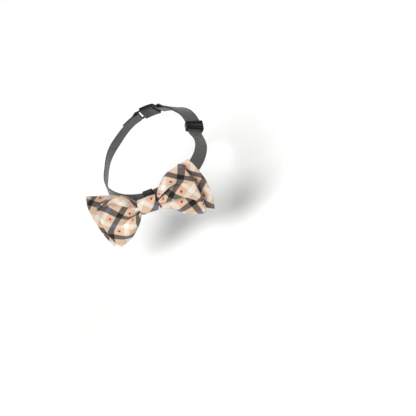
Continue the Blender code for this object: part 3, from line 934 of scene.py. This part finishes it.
@dataclass
class LoopedBow:
    """A bow made of one strip that is looped round both outer edges and pinched."""

    name: str
    node: str
    right: Wing
    left: Wing
    wall: float
    fold_radius: float
    plane: float = 0.0710
    columns: int = 76
    front_rows: int = 34
    rear_rows: int = 13
    fold_steps: int = 5
    edge_blend: float = 7.0
    normal_reach: int = 6
    flat_size: tuple[float, float] = (0.0735, 0.2305)
    cut_share: float = 0.55
    shift: tuple[float, float] = (0.0, 0.0)
    separate_rear: bool = True

    def across(self) -> np.ndarray:
        """Return the columns' shares of the way down."""
        return np.linspace(0.0, 1.0, self.columns + 1)

    def edge_forward(self, edge: np.ndarray, side: float) -> np.ndarray:
        """Return unit vectors that point forward, square to the cloth at its outer edge.

        Args:
            edge: positions along the outer edge.
            side: 1 or -1, the way out.

        Returns:
            One vector for each position.
        """
        reach = self.normal_reach
        window = np.ones(2 * reach + 1) / (2 * reach + 1)
        along = np.pad(np.gradient(edge, axis=0), ((reach, reach), (0, 0)), mode="edge")
        level = np.stack([np.convolve(along[:, i], window, "valid") for i in range(3)], axis=1)
        normals = np.cross((side, 0.0, 0.0), level)
        normals *= np.sign(normals[:, 2:])
        return normals / np.linalg.norm(normals, axis=1, keepdims=True)

    def outer_fold(self, wing: Wing) -> np.ndarray:
        """Return rows that carry the cloth round the wing's outer edge, front to rear."""
        edge = wing.surface([1.0], self.across())[0]
        forward = self.edge_forward(edge, wing.side)
        rows = []
        for step in range(1, self.fold_steps + 1):
            turn = math.pi * step / self.fold_steps
            row = edge - self.fold_radius * (1.0 - math.cos(turn)) * forward
            row[:, 0] += wing.side * self.fold_radius * math.sin(turn)
            rows.append(row)
        return np.array(rows)

    def rear_ply(self, wing: Wing, shares: np.ndarray, edge: np.ndarray) -> np.ndarray:
        """Return the rear ply, from the pinch out to where the outer fold ends.

        Args:
            wing: the wing that it belongs to.
            shares: shares of the way out from the pinch.
            edge: the outer fold's last row.

        Returns:
            Positions as (x, height, depth).
        """
        across = self.across()
        if not self.separate_rear:
            rear = wing.surface(shares, across)
            rear[..., 2] -= 2.0 * self.fold_radius
            rear += (edge - rear[-1])[None] * shares[:, None, None] ** self.edge_blend
            return rear
        ends = (wing.folds[0], wing.folds[-1])
        outline = wing.read(ends, shares, across)
        blend = shares[:, None] ** self.edge_blend
        drawn_in = flowing(STATIONS, REAR_SHARE, shares)[:, None]
        x = wing.pinch + (edge[:, 0] - wing.pinch) * shares[:, None]
        height = outline[:, :, 1] * drawn_in + (edge[:, 1] - outline[-1, :, 1]) * blend
        level = flowing(STATIONS, REAR_DEPTH, shares)[:, None] * MM
        depth = level * (1.0 - blend) + edge[:, 2] * blend
        return np.stack([x, height, depth], axis=2)

    def wing_strip(self, wing: Wing) -> tuple[np.ndarray, np.ndarray]:
        """Build one wing from the pinch out over its front and back along its rear.

        Args:
            wing: the wing.

        Returns:
            Positions as (x, height, depth), and positions on the flat cut.
        """
        across = self.across()
        out = np.linspace(0.0, 1.0, self.front_rows + 1)
        front = wing.surface(out ** 1.12, across)
        front_flat = wing.flat_cut(front, across)
        fold = self.outer_fold(wing)
        back = 1.0 - np.linspace(0.0, 1.0, self.rear_rows + 1)[::-1] ** 1.3
        rear = self.rear_ply(wing, back, fold[-1])[::-1]
        behind = np.concatenate([front[-1:], fold[:-1], rear])
        behind_out = front_flat[-1, :, 0] + wing.side * running_length(behind, 0)
        height = np.ptp(behind[:, :, 1], axis=1) / np.ptp(front[-1, :, 1])
        middle = front_flat[-1, :, 1].mean()
        down = middle + (front_flat[-1, :, 1] - middle)[None] * height[:, None]
        behind_flat = np.stack([behind_out, down], axis=2)
        strip = np.concatenate([front, behind[1:]])
        return strip, np.concatenate([front_flat, behind_flat[1:]])

    def build(self, material: bpy.types.Material) -> bpy.types.Object:
        """Make the whole looped strip, its wall and its soft edges.

        Args:
            material: the cloth.

        Returns:
            The finished piece.
        """
        right, right_flat = self.wing_strip(self.right)
        left, left_flat = self.wing_strip(self.left)
        rear_middle = 0.5 * (right[-1:] + left[-1:])
        front_middle = 0.5 * (right[:1] + left[:1])
        strip = np.concatenate([right, rear_middle, left[::-1], front_middle])
        between = 0.5 * (right_flat[:1] + left_flat[:1])
        flat = np.concatenate([right_flat, right_flat[-1:], left_flat[::-1], between, right_flat[:1]])
        flat = flat + np.array(self.shift) * MM
        thing = grid_object(
            self.name, to_world(strip, self.plane), flat, material, wrap_rows=True
        )
        thicken(thing, self.wall, 1)
        place_piece(thing, (self.node,))
        return thing


@dataclass
class BandRing:
    """A closed band that runs round X: the knot or the keeper behind it."""

    name: str
    node: str
    centre: tuple[float, float, float]
    half_depth: float
    half_height: float
    corner: float
    width: float
    wall: float
    crown: float
    sag: float
    flat_size: tuple[float, float]
    slot: Slot
    held: Held
    rests_on: tuple[str, ...]
    columns: int
    corner_steps: int
    side_steps: int
    ribs: int = 0
    relief: float = 0.0
    shift: tuple[float, float] = (0.0, 0.0)

    def profile(self) -> np.ndarray:
        """Return the closed section as (out from the neck's axis, height)."""
        straight_out = self.half_depth - self.corner
        straight_up = self.half_height - self.corner
        points = []
        corners = ((1, 1), (-1, 1), (-1, -1), (1, -1))
        for quarter, (out_sign, up_sign) in enumerate(corners):
            for step in range(self.corner_steps + 1):
                turn = 0.5 * math.pi * (quarter + step / self.corner_steps)
                points.append((
                    out_sign * straight_out + self.corner * math.cos(turn),
                    up_sign * straight_up + self.corner * math.sin(turn),
                ))
            if quarter in (0, 2):
                continue
            side = points[-1][0]
            for step in range(1, self.side_steps):
                points.append((side, up_sign * straight_up * (1.0 - 2.0 * step / self.side_steps)))
        back = 2 * (self.corner_steps + 1)
        return np.roll(np.array(points), -back, axis=0)

    def build(self, material: bpy.types.Material) -> bpy.types.Object:
        """Make the band with its crown, its relief and its wall.

        Args:
            material: the finish.

        Returns:
            The finished piece.
        """
        section = self.profile()
        centre_x, centre_out, centre_up = self.centre
        along = np.linspace(-1.0, 1.0, self.columns + 1)[None, :]
        frontness = ((section[:, 0] + self.half_depth) / (2.0 * self.half_depth))[:, None]
        bulge = self.crown * (1.0 - along * along) * frontness
        hollow = self.sag * along * along * (1.0 - frontness)
        away = np.hypot(section[:, 0], section[:, 1])[:, None]
        turn = np.arctan2(section[:, 1], section[:, 0])[:, None]
        if self.ribs:
            swell = np.cos(math.pi * self.ribs * (along + 1.0))
        else:
            swell = np.sin(4.2 * along + 0.8 * np.sin(turn)) * (1.0 - 0.5 * along * along)
        swell = swell * self.relief
        out = section[:, :1] * (1.0 + swell / away) + bulge - hollow
        up = section[:, 1:] * (1.0 + swell / away)
        points = np.stack([
            np.broadcast_to(centre_x + 0.5 * self.width * along, out.shape),
            -(centre_out + out),
            centre_up + up,
        ], axis=-1)
        closed = np.concatenate([points, points[:1]])
        down = running_length(closed, 0)
        flat = np.stack([np.broadcast_to(0.5 * self.width * along, down.shape), down], axis=-1)
        flat = flat + np.array(self.shift) * MM
        thing = grid_object(self.name, points, flat, material, wrap_rows=True)
        thicken(thing, self.wall, 1)
        place_piece(thing, (self.node,))
        return thing


class StrapLoop:
    """The middle line of the strap round the neck, read by length from the bow's middle."""

    def __init__(self) -> None:
        """Measure the line once, finely enough to read it by length."""
        angles = [station.angle for station in LOOP]
        self.turns = np.array([a - 360 for a in angles] + angles + [a + 360 for a in angles])
        self.radius = np.array([station.radius for station in LOOP] * 3) * MM
        self.lift = np.array([station.lift for station in LOOP] * 3) * MM
        self.tilt = np.radians([station.tilt for station in LOOP] * 3)
        self.samples = np.linspace(-90.0, 270.0, 1441)
        self.lengths = running_length(self.middle(self.samples), 0)
        self.total = float(self.lengths[-1])

    def middle(self, degrees: object) -> np.ndarray:
        """Return points of the middle line at angles in degrees."""
        degrees = np.asarray(degrees, float)
        turn = np.radians(degrees)
        radius = flowing(self.turns, self.radius, degrees)
        lift = flowing(self.turns, self.lift, degrees)
        return np.stack([radius * np.cos(turn), radius * np.sin(turn), lift], axis=-1)

    def axes(self, length: np.ndarray) -> tuple[np.ndarray, np.ndarray, np.ndarray]:
        """Read the line at some lengths.

        Args:
            length: lengths from the bow's middle.

        Returns:
            Points, unit vectors across the strap, and unit vectors outward from it.
        """
        degrees = np.interp(np.asarray(length, float) % self.total, self.lengths, self.samples)
        nudge = 0.5
        here = self.middle(degrees)
        tangent = self.middle(degrees + nudge) - self.middle(degrees - nudge)
        tangent /= np.linalg.norm(tangent, axis=-1, keepdims=True)
        outward = np.cross(tangent, (0.0, 0.0, 1.0))
        outward /= np.linalg.norm(outward, axis=-1, keepdims=True)
        upward = np.cross(outward, tangent)
        tilt = flowing(self.turns, self.tilt, degrees)[..., None]
        normal = np.cos(tilt) * outward + np.sin(tilt) * upward
        width = np.cos(tilt) * upward - np.sin(tilt) * outward
        return here, width, normal

    def length_at(self, degrees: float) -> float:
        """Return the length along the strap at an angle round the neck."""
        return float(np.interp(degrees, self.samples, self.lengths))

    def place(self, length: object, across: object, rise: object) -> np.ndarray:
        """Turn strap positions into the part's frame.

        Args:
            length: lengths along the strap.
            across: distances across it.
            rise: heights off it.

        Returns:
            Points as (…, 3).
        """
        here, width, normal = self.axes(length)
        across = np.asarray(across, float)[..., None]
        rise = np.asarray(rise, float)[..., None]
        return here + across * width + rise * normal


def eased(start: tuple, end: tuple, steps: int) -> list[tuple[float, float]]:
    """Return (length, rise) points after start up to end, with soft ends."""
    shares = [step / steps for step in range(1, steps + 1)]
    soft = [share * share * (3.0 - 2.0 * share) for share in shares]
    return [
        (start[0] + (end[0] - start[0]) * share, start[1] + (end[1] - start[1]) * ease)
        for share, ease in zip(shares, soft)
    ]


def run(start: tuple, end: tuple, step: float) -> list[tuple[float, float]]:
    """Return evenly spaced (length, rise) points after start up to end."""
    return eased(start, end, max(1, round(abs(end[0] - start[0]) / step)))


@dataclass
class NeckStrap:
    """The webbing, from the slider round the clasp's bars and the neck to its sewn end."""

    loop: StrapLoop
    width: float = 0.0150
    thickness: float = 0.0013
    selvedge: float = 0.00006
    ply_rise: float = 0.00175
    sewn_tail: float = 0.0190
    rise_length: float = 0.0070
    slider_turn: float = 27.7
    slider_reach: float = 0.0052
    slider_end: float = 0.0034
    clasp_turn: float = 90.0
    clasp_bar: float = 0.0136
    bar_rise: float = 0.00215
    step: float = 0.0018
    wrap_steps: int = 12
    flat_size: tuple[float, float] = (0.015, 0.4605)

    def half_turn(self, place: float, side: float, direction: float) -> list[tuple[float, float]]:
        """Return a half circle round a bar.

        Args:
            place: the bar's length along the strap.
            side: 1 or -1, the way that the turn bulges.
            direction: 1 from above to below, -1 from below to above.

        Returns:
            The points between its two ends.
        """
        turns = [math.pi * step / self.wrap_steps for step in range(1, self.wrap_steps)]
        return [
            (
                place + side * self.bar_rise * math.sin(turn),
                self.bar_rise + direction * self.bar_rise * math.cos(turn),
            )
            for turn in turns
        ]

    def bars(self) -> tuple[float, float]:
        """Return the lengths of the clasp's right and left bars."""
        clasp = self.loop.length_at(self.clasp_turn)
        return clasp - self.clasp_bar, clasp + self.clasp_bar - self.loop.total

    def route(self) -> np.ndarray:
        """Return the whole webbing's way as rows of (length, rise)."""
        slider = self.loop.length_at(self.slider_turn)
        right_bar, left_bar = self.bars()
        top = 2.0 * self.bar_rise
        way = [(slider - self.slider_end, self.ply_rise)]
        way += run(way[-1], (right_bar - self.rise_length, self.ply_rise), self.step)
        way += eased(way[-1], (right_bar, top), 8)
        way += self.half_turn(right_bar, 1.0, 1.0)
        way += [(right_bar, 0.0)]
        way += run(way[-1], (left_bar, 0.0), self.step)
        way += self.half_turn(left_bar, -1.0, -1.0)
        way += [(left_bar, top)]
        way += eased(way[-1], (left_bar + self.rise_length, self.ply_rise), 8)
        way += run(way[-1], (left_bar + self.sewn_tail, self.ply_rise), self.step)
        return np.array(way)

    def section(self) -> np.ndarray:
        """Return the webbing's closed section as (across, off), with thicker selvedges."""
        half_width = 0.5 * self.width
        half_thick = 0.5 * self.thickness
        flat_end = half_width - half_thick
        across = np.linspace(-flat_end, flat_end, 13)
        edge = smooth((np.abs(across) - 0.75 * half_width) / (0.2 * half_width))
        off = half_thick - self.selvedge + self.selvedge * edge
        turns = math.pi * np.arange(1, 5) / 5.0
        rim = np.stack([
            flat_end + half_thick * np.sin(turns), half_thick * np.cos(turns)
        ], axis=1)
        top = np.stack([across, off], axis=1)
        return np.concatenate([top, rim, -top, -rim])

    def axes(self, way: np.ndarray) -> tuple[np.ndarray, np.ndarray, np.ndarray]:
        """Return middle points, across vectors and off vectors along the way."""
        middle = self.loop.place(way[:, 0], 0.0 * way[:, 0], way[:, 1])
        along = np.gradient(middle, axis=0)
        along /= np.linalg.norm(along, axis=1, keepdims=True)
        across = self.loop.axes(way[:, 0])[1]
        across = across - along * (across * along).sum(axis=1, keepdims=True)
        across /= np.linalg.norm(across, axis=1, keepdims=True)
        return middle, across, np.cross(across, along)

    def build(self, material: bpy.types.Material) -> bpy.types.Object:
        """Make the webbing as one swept ribbon.

        Args:
            material: the webbing's finish.

        Returns:
            The finished piece.
        """
        middle, across, off = self.axes(self.route())
        section = self.section()
        points = (
            middle[:, None]
            + section[None, :, :1] * across[:, None]
            + section[None, :, 1:] * off[:, None]
        )
        length = running_length(middle, 0)
        round_it = running_length(np.concatenate([section, section[:1]]), 0)
        flat = np.stack(np.meshgrid(length, round_it, indexing="ij"), axis=-1)
        thing = grid_object(
            "strap_webbing", points, flat, material, wrap_columns=True, capped=True
        )
        face_outward(thing)
        place_piece(thing, ("neck_strap",))
        LOG.info("webbing: %.0f mm long", 1000.0 * length[-1])
        return thing

    def selvedge_rows(self) -> list[np.ndarray]:
        """Return the lines along both selvedges."""
        middle, across, _ = self.axes(self.route())
        reach = 0.5 * self.width - 0.00018
        return [middle + side * reach * across for side in (-1.0, 1.0)]

    def box_rows(self) -> list[np.ndarray]:
        """Return the lines of the crossed box that sews the end down."""
        left_bar = self.bars()[1]
        near = left_bar + self.rise_length + 0.0012
        far = left_bar + self.sewn_tail - 0.0016
        side = 0.5 * self.width - 0.0022
        corners = ((near, -side), (far, -side), (far, side), (near, side))
        lines = [(corners[i], corners[(i + 1) % 4]) for i in range(4)]
        lines += [(corners[0], corners[2]), (corners[1], corners[3])]
        rise = self.ply_rise + 0.5 * self.thickness + 0.00002
        rows = []
        for start, end in lines:
            share = np.linspace(0.04, 0.96, 24)
            length = start[0] + (end[0] - start[0]) * share
            across = start[1] + (end[1] - start[1]) * share
            rows.append(self.loop.place(length, across, np.full(share.shape, rise)))
        return rows


@dataclass
class Moulding:
    """A moulded block made of cells between breaks, bent to follow the strap."""

    name: str
    node: str
    turn: float
    along: tuple[float, ...]
    across: tuple[float, ...]
    rises: tuple[float, ...]
    cells: frozenset
    radius: float
    crown: float

    def build(self, loop: StrapLoop, material: bpy.types.Material) -> bpy.types.Object:
        """Make the moulding and round its edges.

        Args:
            loop: the strap that it follows.
            material: the plastic.

        Returns:
            The finished piece.
        """
        numbers: dict[tuple[int, int, int], int] = {}
        faces = []
        for cell in sorted(self.cells):
            for axis in range(3):
                for side in (0, 1):
                    beside = list(cell)
                    beside[axis] += 1 if side else -1
                    if tuple(beside) in self.cells:
                        continue
                    corners = self.face_corners(cell, axis, side)
                    faces.append([numbers.setdefault(c, len(numbers)) for c in corners])
        spots = np.array(list(numbers))
        start = loop.length_at(self.turn)
        along = np.array(self.along)[spots[:, 0]]
        across = np.array(self.across)[spots[:, 1]]
        rise = np.array(self.rises)[spots[:, 2]]
        top = spots[:, 2] == len(self.rises) - 1
        rise = rise + np.where(top, self.crown * (1.0 - (across / max(self.across)) ** 2), 0.0)
        points = loop.place(start + along, across, rise)
        mesh = bpy.data.meshes.new(self.name)
        mesh.from_pydata(points.tolist(), [], faces)
        mesh.materials.append(material)
        mesh.shade_smooth()
        thing = add_object(self.name, mesh)
        face_outward(thing)
        bevel = thing.modifiers.new("Moulded edges", "BEVEL")
        bevel.width = self.radius
        bevel.segments = 4
        bevel.limit_method = "ANGLE"
        bevel.angle_limit = math.radians(40.0)
        place_piece(thing, (self.node,))
        return thing

    @staticmethod
    def face_corners(cell: tuple[int, int, int], axis: int, side: int) -> list[tuple]:
        """Return the four corners of one side of a cell, in order round the face."""
        first, second = (axis + 1) % 3, (axis + 2) % 3
        corners = []
        for one, two in ((0, 0), (1, 0), (1, 1), (0, 1)):
            spot = list(cell)
            spot[axis] += side
            spot[first] += one
            spot[second] += two
            corners.append(tuple(spot))
        return corners if side else corners[::-1]


@dataclass(frozen=True)
class Stitch:
    """One kind of stitch: its length, its pitch, its thread's radius and its unevenness."""

    length: float
    pitch: float
    thread_radius: float
    unevenness: float


class StitchRow:
    """Rows of stitches that follow lines, made by one Geometry Nodes tree."""

    SOCKETS = (
        ("Rows", "NodeSocketGeometry"),
        ("Stitch Length", "NodeSocketFloat"),
        ("Pitch", "NodeSocketFloat"),
        ("Thread Radius", "NodeSocketFloat"),
        ("Unevenness", "NodeSocketFloat"),
        ("Thread", "NodeSocketMaterial"),
    )
    SEED = 11

    def __init__(self) -> None:
        """Build the tree and note the identifier of each of its inputs."""
        self.tree = bpy.data.node_groups.new("Stitch row", "GeometryNodeTree")
        face = self.tree.interface
        self.keys = {
            name: face.new_socket(name=name, in_out="INPUT", socket_type=kind).identifier
            for name, kind in self.SOCKETS
        }
        face.new_socket(name="Stitches", in_out="OUTPUT", socket_type="NodeSocketGeometry")
        self.fill()

    def fill(self) -> None:
        """Lay one round-ended stitch at each step along every line."""
        tree = self.tree
        given = tree.nodes.new("NodeGroupInput").outputs
        lines = add_node(tree, "GeometryNodeMeshToCurve", {}, {0: given["Rows"]})
        steps = add_node(tree, "GeometryNodeCurveToPoints", {"mode": "LENGTH"}, {
            "Curve": lines, "Length": given["Pitch"],
        }).node
        ball = add_node(tree, "GeometryNodeMeshUVSphere", {}, {
            "Segments": 6, "Rings": 4, "Radius": 1.0,
        })
        half = add_node(tree, "ShaderNodeMath", {"operation": "MULTIPLY"}, {
            0: given["Stitch Length"], 1: 0.5,
        })
        size = add_node(tree, "ShaderNodeCombineXYZ", {}, {
            0: given["Thread Radius"], 1: given["Thread Radius"], 2: half,
        })
        stitch = add_node(tree, "GeometryNodeTransform", {}, {"Geometry": ball, "Scale": size})
        least = add_node(tree, "ShaderNodeMath", {"operation": "SUBTRACT"}, {
            0: 1.0, 1: given["Unevenness"],
        })
        uneven = add_node(tree, "FunctionNodeRandomValue", {"data_type": "FLOAT"}, {
            2: least, 3: 1.0, "Seed": self.SEED,
        }, 1)
        laid = add_node(tree, "GeometryNodeInstanceOnPoints", {}, {
            "Points": steps.outputs["Points"],
            "Instance": stitch,
            "Rotation": steps.outputs["Rotation"],
            "Scale": uneven,
        })
        real = add_node(tree, "GeometryNodeRealizeInstances", {}, {0: laid})
        soft = add_node(tree, "GeometryNodeSetShadeSmooth", {}, {0: real})
        done = add_node(tree, "GeometryNodeSetMaterial", {}, {
            "Geometry": soft, "Material": given["Thread"],
        })
        add_node(tree, "NodeGroupOutput", {}, {0: done})

    def sew(
        self,
        name: str,
        rows: list[np.ndarray],
        stitch: Stitch,
        thread: bpy.types.Material,
    ) -> bpy.types.Object:
        """Sew rows of stitches as one plain mesh.

        Args:
            name: the piece's name.
            rows: lines of points that the stitches follow.
            stitch: the kind of stitch.
            thread: the thread's finish.

        Returns:
            The finished piece.
        """
        points = np.concatenate(rows)
        edges = []
        start = 0
        for row in rows:
            edges += [(start + i, start + i + 1) for i in range(len(row) - 1)]
            start += len(row)
        mesh = bpy.data.meshes.new(name + "_lines")
        mesh.from_pydata(points.tolist(), edges, [])
        lines = add_object(name + "_lines", mesh)
        modifier = lines.modifiers.new("Stitches", "NODES")
        modifier.node_group = self.tree
        values = {
            "Stitch Length": stitch.length,
            "Pitch": stitch.pitch,
            "Thread Radius": stitch.thread_radius,
            "Unevenness": stitch.unevenness,
            "Thread": thread,
        }
        for key, value in values.items():
            modifier[self.keys[key]] = value
        shown = lines.evaluated_get(bpy.context.evaluated_depsgraph_get())
        sewn = bpy.data.meshes.new_from_object(shown)
        lines.modifiers.remove(modifier)
        bpy.data.objects.remove(lines, do_unlink=True)
        sewn.name = name
        if not sewn.materials:
            sewn.materials.append(thread)
        thing = add_object(name, sewn)
        place_piece(thing)
        return thing


@dataclass(frozen=True)
class Studio:
    """The pale floor, the soft lights and the photograph's viewpoint."""

    eye: tuple[float, float, float] = (0.3027, -0.8336, 0.5265)
    right: tuple[float, float, float] = (0.9113, 0.0025, -0.4117)
    up: tuple[float, float, float] = (0.3200, 0.6249, 0.7121)
    back: tuple[float, float, float] = (0.2590, -0.7807, 0.5687)
    lens: float = 84.98
    sensor: float = 36.0
    floor_drop: float = 0.05
    floor_half: float = 6.0
    key_from: tuple[float, float, float] = (-0.35, -0.95, 1.00)
    key_strength: float = 3.5
    key_spread: float = 30.0
    sky_strength: float = 0.26
    boxes: tuple[tuple, ...] = (("side", (0.80, 0.45, 0.95), 0.50, 2.2),)

    def camera(self) -> None:
        """Put the camera where the photograph was taken from."""
        data = bpy.data.cameras.new("Photograph view")
        data.lens = self.lens
        data.sensor_width = self.sensor
        data.clip_start = 0.01
        data.clip_end = 50.0
        thing = add_object("Photograph view", data)
        axes = Matrix((self.right, self.up, self.back)).transposed().to_4x4()
        thing.matrix_world = Matrix.Translation(self.eye) @ axes
        bpy.context.scene.camera = thing

    def floor(self) -> None:
        """Lay the pale floor under the part."""
        level = cad_box[0].z - self.floor_drop
        half = self.floor_half
        ends = ((-half, -half), (half, -half), (half, half), (-half, half))
        corners = [(x, y, level) for x, y in ends]
        mesh = bpy.data.meshes.new("floor")
        mesh.from_pydata(corners, [], [(0, 1, 2, 3)])
        material, tree, shader = new_material("Paper, matt white backdrop")
        place = add_node(tree, "ShaderNodeTexCoord", {}, {}, "Object")
        fibre = add_node(tree, "ShaderNodeTexNoise", {}, {"Vector": place, "Scale": 40.0})
        colour = add_node(tree, "ShaderNodeMix", {"data_type": "RGBA"}, {
            0: fibre, 6: linear("#F6F6F5"), 7: linear("#FBFBFA"),
        }, 2)
        tree.links.new(colour, shader.inputs["Base Color"])
        shader.inputs["Roughness"].default_value = 0.9
        mesh.materials.append(material)
        add_object("floor", mesh)

    def lights(self) -> None:
        """Hang a broad soft key in front, a soft box at the side, and a white sky."""
        data = bpy.data.lights.new("key", "SUN")
        data.energy = self.key_strength
        data.angle = math.radians(self.key_spread)
        self.hang(data, self.key_from)
        for name, spot, size, power in self.boxes:
            data = bpy.data.lights.new(name, "AREA")
            data.shape = "SQUARE"
            data.size = size
            data.energy = power
            self.hang(data, spot)
        world = bpy.data.worlds.new("White room")
        world.use_nodes = True
        sky = world.node_tree.nodes["Background"]
        sky.inputs["Color"].default_value = (1.0, 1.0, 1.0, 1.0)
        sky.inputs["Strength"].default_value = self.sky_strength
        bpy.context.scene.world = world
        bpy.context.scene.view_settings.view_transform = "Standard"
        bpy.context.scene.view_settings.look = "None"

    @staticmethod
    def hang(data: bpy.types.Light, spot: tuple[float, float, float]) -> None:
        """Hang a light at a place and turn it to the bow.

        Args:
            data: the light.
            spot: where it hangs.
        """
        thing = add_object(data.name, data)
        thing.rotation_mode = "QUATERNION"
        thing.rotation_quaternion = Vector(spot).to_track_quat("Z", "Y")
        thing.location = spot


def block(counts: tuple[int, int, int], keep: object) -> frozenset:
    """Return the cells of a grid that a rule keeps.

    Args:
        counts: how many cells there are along, across and off the strap.
        keep: the rule, called with a cell's three indexes.

    Returns:
        The kept cells.
    """
    return frozenset(
        (a, b, c)
        for a in range(counts[0])
        for b in range(counts[1])
        for c in range(counts[2])
        if keep(a, b, c)
    )


def make_slider() -> Moulding:
    """Return the slider: a sleeve round both plies, with three bars across its face."""
    along = (-0.0052, -0.0041, -0.0029, -0.0021, -0.0007, 0.0007, 0.0021, 0.0029, 0.0041, 0.0052)
    across = (-0.0093, -0.0079, -0.0040, 0.0, 0.0040, 0.0079, 0.0093)
    rises = (-0.0022, -0.00095, 0.0027, 0.0035, 0.0043)
    grooves = (2, 6)
    rails = (0, 5)
    cells = block(
        (9, 6, 4),
        lambda a, b, c: (b in rails or c != 1) and not (c == 3 and a in grooves),
    )
    return Moulding(
        "slider_moulding", "slider", 27.7, along, across, rises, cells, 0.00035, 0.0
    )


def make_clasp() -> Moulding:
    """Return the clasp: a plain crowned body with a bar for the webbing at each end."""
    along = (-0.0146, -0.0126, -0.0085, -0.0043, 0.0, 0.0043, 0.0085, 0.0126, 0.0146)
    across = (-0.0101, -0.0079, -0.0040, 0.0, 0.0040, 0.0079, 0.0101)
    rises = (-0.0009, 0.00125, 0.00305, 0.0051)
    body = (2, 3, 4, 5)
    bars = (0, 7)
    rails = (0, 5)
    cells = block(
        (8, 6, 3),
        lambda a, b, c: a in body or (c == 1 and (a in bars or b in rails)),
    )
    return Moulding(
        "clasp_moulding", "clasp", 90.0, along, across, rises, cells, 0.00060, 0.0004
    )


def make_knot() -> BandRing:
    """Return the cloth band that wraps both pinches."""
    return BandRing(
        name="knot_cloth",
        node="knot_band",
        centre=(-0.0017, 0.0700, -0.0015),
        half_depth=0.0049,
        half_height=0.0073,
        corner=0.0040,
        width=0.0205,
        wall=0.0014,
        crown=0.0005,
        sag=0.0,
        flat_size=(0.0205, 0.0420),
        slot=Slot.CLOTH,
        held=Held.FOLDED,
        rests_on=("front_bow_cloth", "back_bow_cloth"),
        columns=22,
        corner_steps=7,
        side_steps=6,
        relief=0.00022,
        shift=(4.0, 9.0),
    )


def make_keeper() -> BandRing:
    """Return the ribbed elastic loop behind the knot that carries the strap."""
    return BandRing(
        name="strap_keeper_elastic",
        node="strap_keeper",
        centre=(0.0, 0.0615, 0.0),
        half_depth=0.0018,
        half_height=0.0084,
        corner=0.0010,
        width=0.0100,
        wall=0.0010,
        crown=0.0,
        sag=0.0002,
        flat_size=(0.0100, 0.0390),
        slot=Slot.ELASTIC,
        held=Held.STRETCHED,
        rests_on=("knot_cloth",),
        columns=40,
        corner_steps=4,
        side_steps=6,
        ribs=8,
        relief=0.00007,
    )


def make_front_bow() -> LoopedBow:
    """Return the front bow, with three lobes on each wing."""
    return LoopedBow(
        name="front_bow_cloth",
        node="front_bow",
        right=Wing(RIGHT_FOLDS, (0.21, 0.53, 0.88), (0.39, 0.74)),
        left=Wing(LEFT_FOLDS, (0.17, 0.56, 0.85), (0.38, 0.71), LEFT_CREASES),
        wall=0.0010,
        fold_radius=0.0012,
    )


def make_back_bow() -> LoopedBow:
    """Return the flatter bow behind it, whose two plies lie together."""
    small = {"pleat_height": 0.0001, "ripple_height": 0.00018}
    return LoopedBow(
        name="back_bow_cloth",
        node="back_bow",
        right=Wing(RIGHT_BACK_FOLDS, (0.50,), **small),
        left=Wing(LEFT_BACK_FOLDS, (0.50,), **small),
        wall=0.00062,
        fold_radius=0.00036,
        columns=48,
        rear_rows=24,
        fold_steps=3,
        edge_blend=4.0,
        flat_size=(0.0704, 0.2610),
        cut_share=0.52,
        shift=(7.0, 5.0),
        separate_rear=False,
    )


def knot_seam() -> list[np.ndarray]:
    """Return the line of the knot's back seam."""
    heights = np.linspace(-0.0062, 0.0030, 12)
    return [np.stack([0.0 * heights - 0.0082, 0.0 * heights - 0.0644, heights], axis=1)]


def main() -> None:
    """Build every piece, then the studio round it."""
    logging.basicConfig(level=logging.INFO, format="%(message)s")
    cotton = CheckedCotton().material()
    # low is painted shade in the weave's grooves, high is painted highlight on its ribs and picks
    webbing = WovenWebbing(
        name="Polypropylene webbing, charcoal",
        low="#2C2C2B",
        high="#646260",
        rib=1.0,
        pick=1.1,
        roughness=0.42,
        relief=0.55,
    ).material()
    # low is painted shade in the braid's grooves, high is painted highlight on its ribs
    elastic = WovenWebbing(
        name="Elastic, braided black",
        low="#0C0C0C",
        high="#2A2A2A",
        rib=1.25,
        pick=0.8,
        roughness=0.6,
        relief=0.5,
    ).material()
    plastic = MouldedAcetal().material()
    # Each thread's second colour is painted shade in the grooves of its twist
    dark_thread = SewingThread("Polyester thread, charcoal", "#4A4948", "#1E1E1E").material()
    sand_thread = SewingThread("Polyester thread, sand", "#D9BD9F", "#A58A6E").material()
    make_knot().build(cotton)
    make_keeper().build(elastic)
    make_front_bow().build(cotton)
    make_back_bow().build(cotton)
    loop = StrapLoop()
    strap = NeckStrap(loop)
    strap.build(webbing)
    make_slider().build(loop, plastic)
    make_clasp().build(loop, plastic)
    stitches = StitchRow()
    selvedge = Stitch(length=0.0013, pitch=0.0011, thread_radius=0.00036, unevenness=0.12)
    box = Stitch(length=0.0019, pitch=0.0022, thread_radius=0.00019, unevenness=0.12)
    seam = Stitch(length=0.0016, pitch=0.0020, thread_radius=0.00018, unevenness=0.15)
    stitches.sew("strap_selvedge", strap.selvedge_rows(), selvedge, webbing)
    stitches.sew("strap_stitches", strap.box_rows(), box, dark_thread)
    stitches.sew("knot_seam_stitches", knot_seam(), seam, sand_thread)
    studio = Studio()
    studio.camera()
    studio.floor()
    studio.lights()


if __name__ == "__main__":
    main()
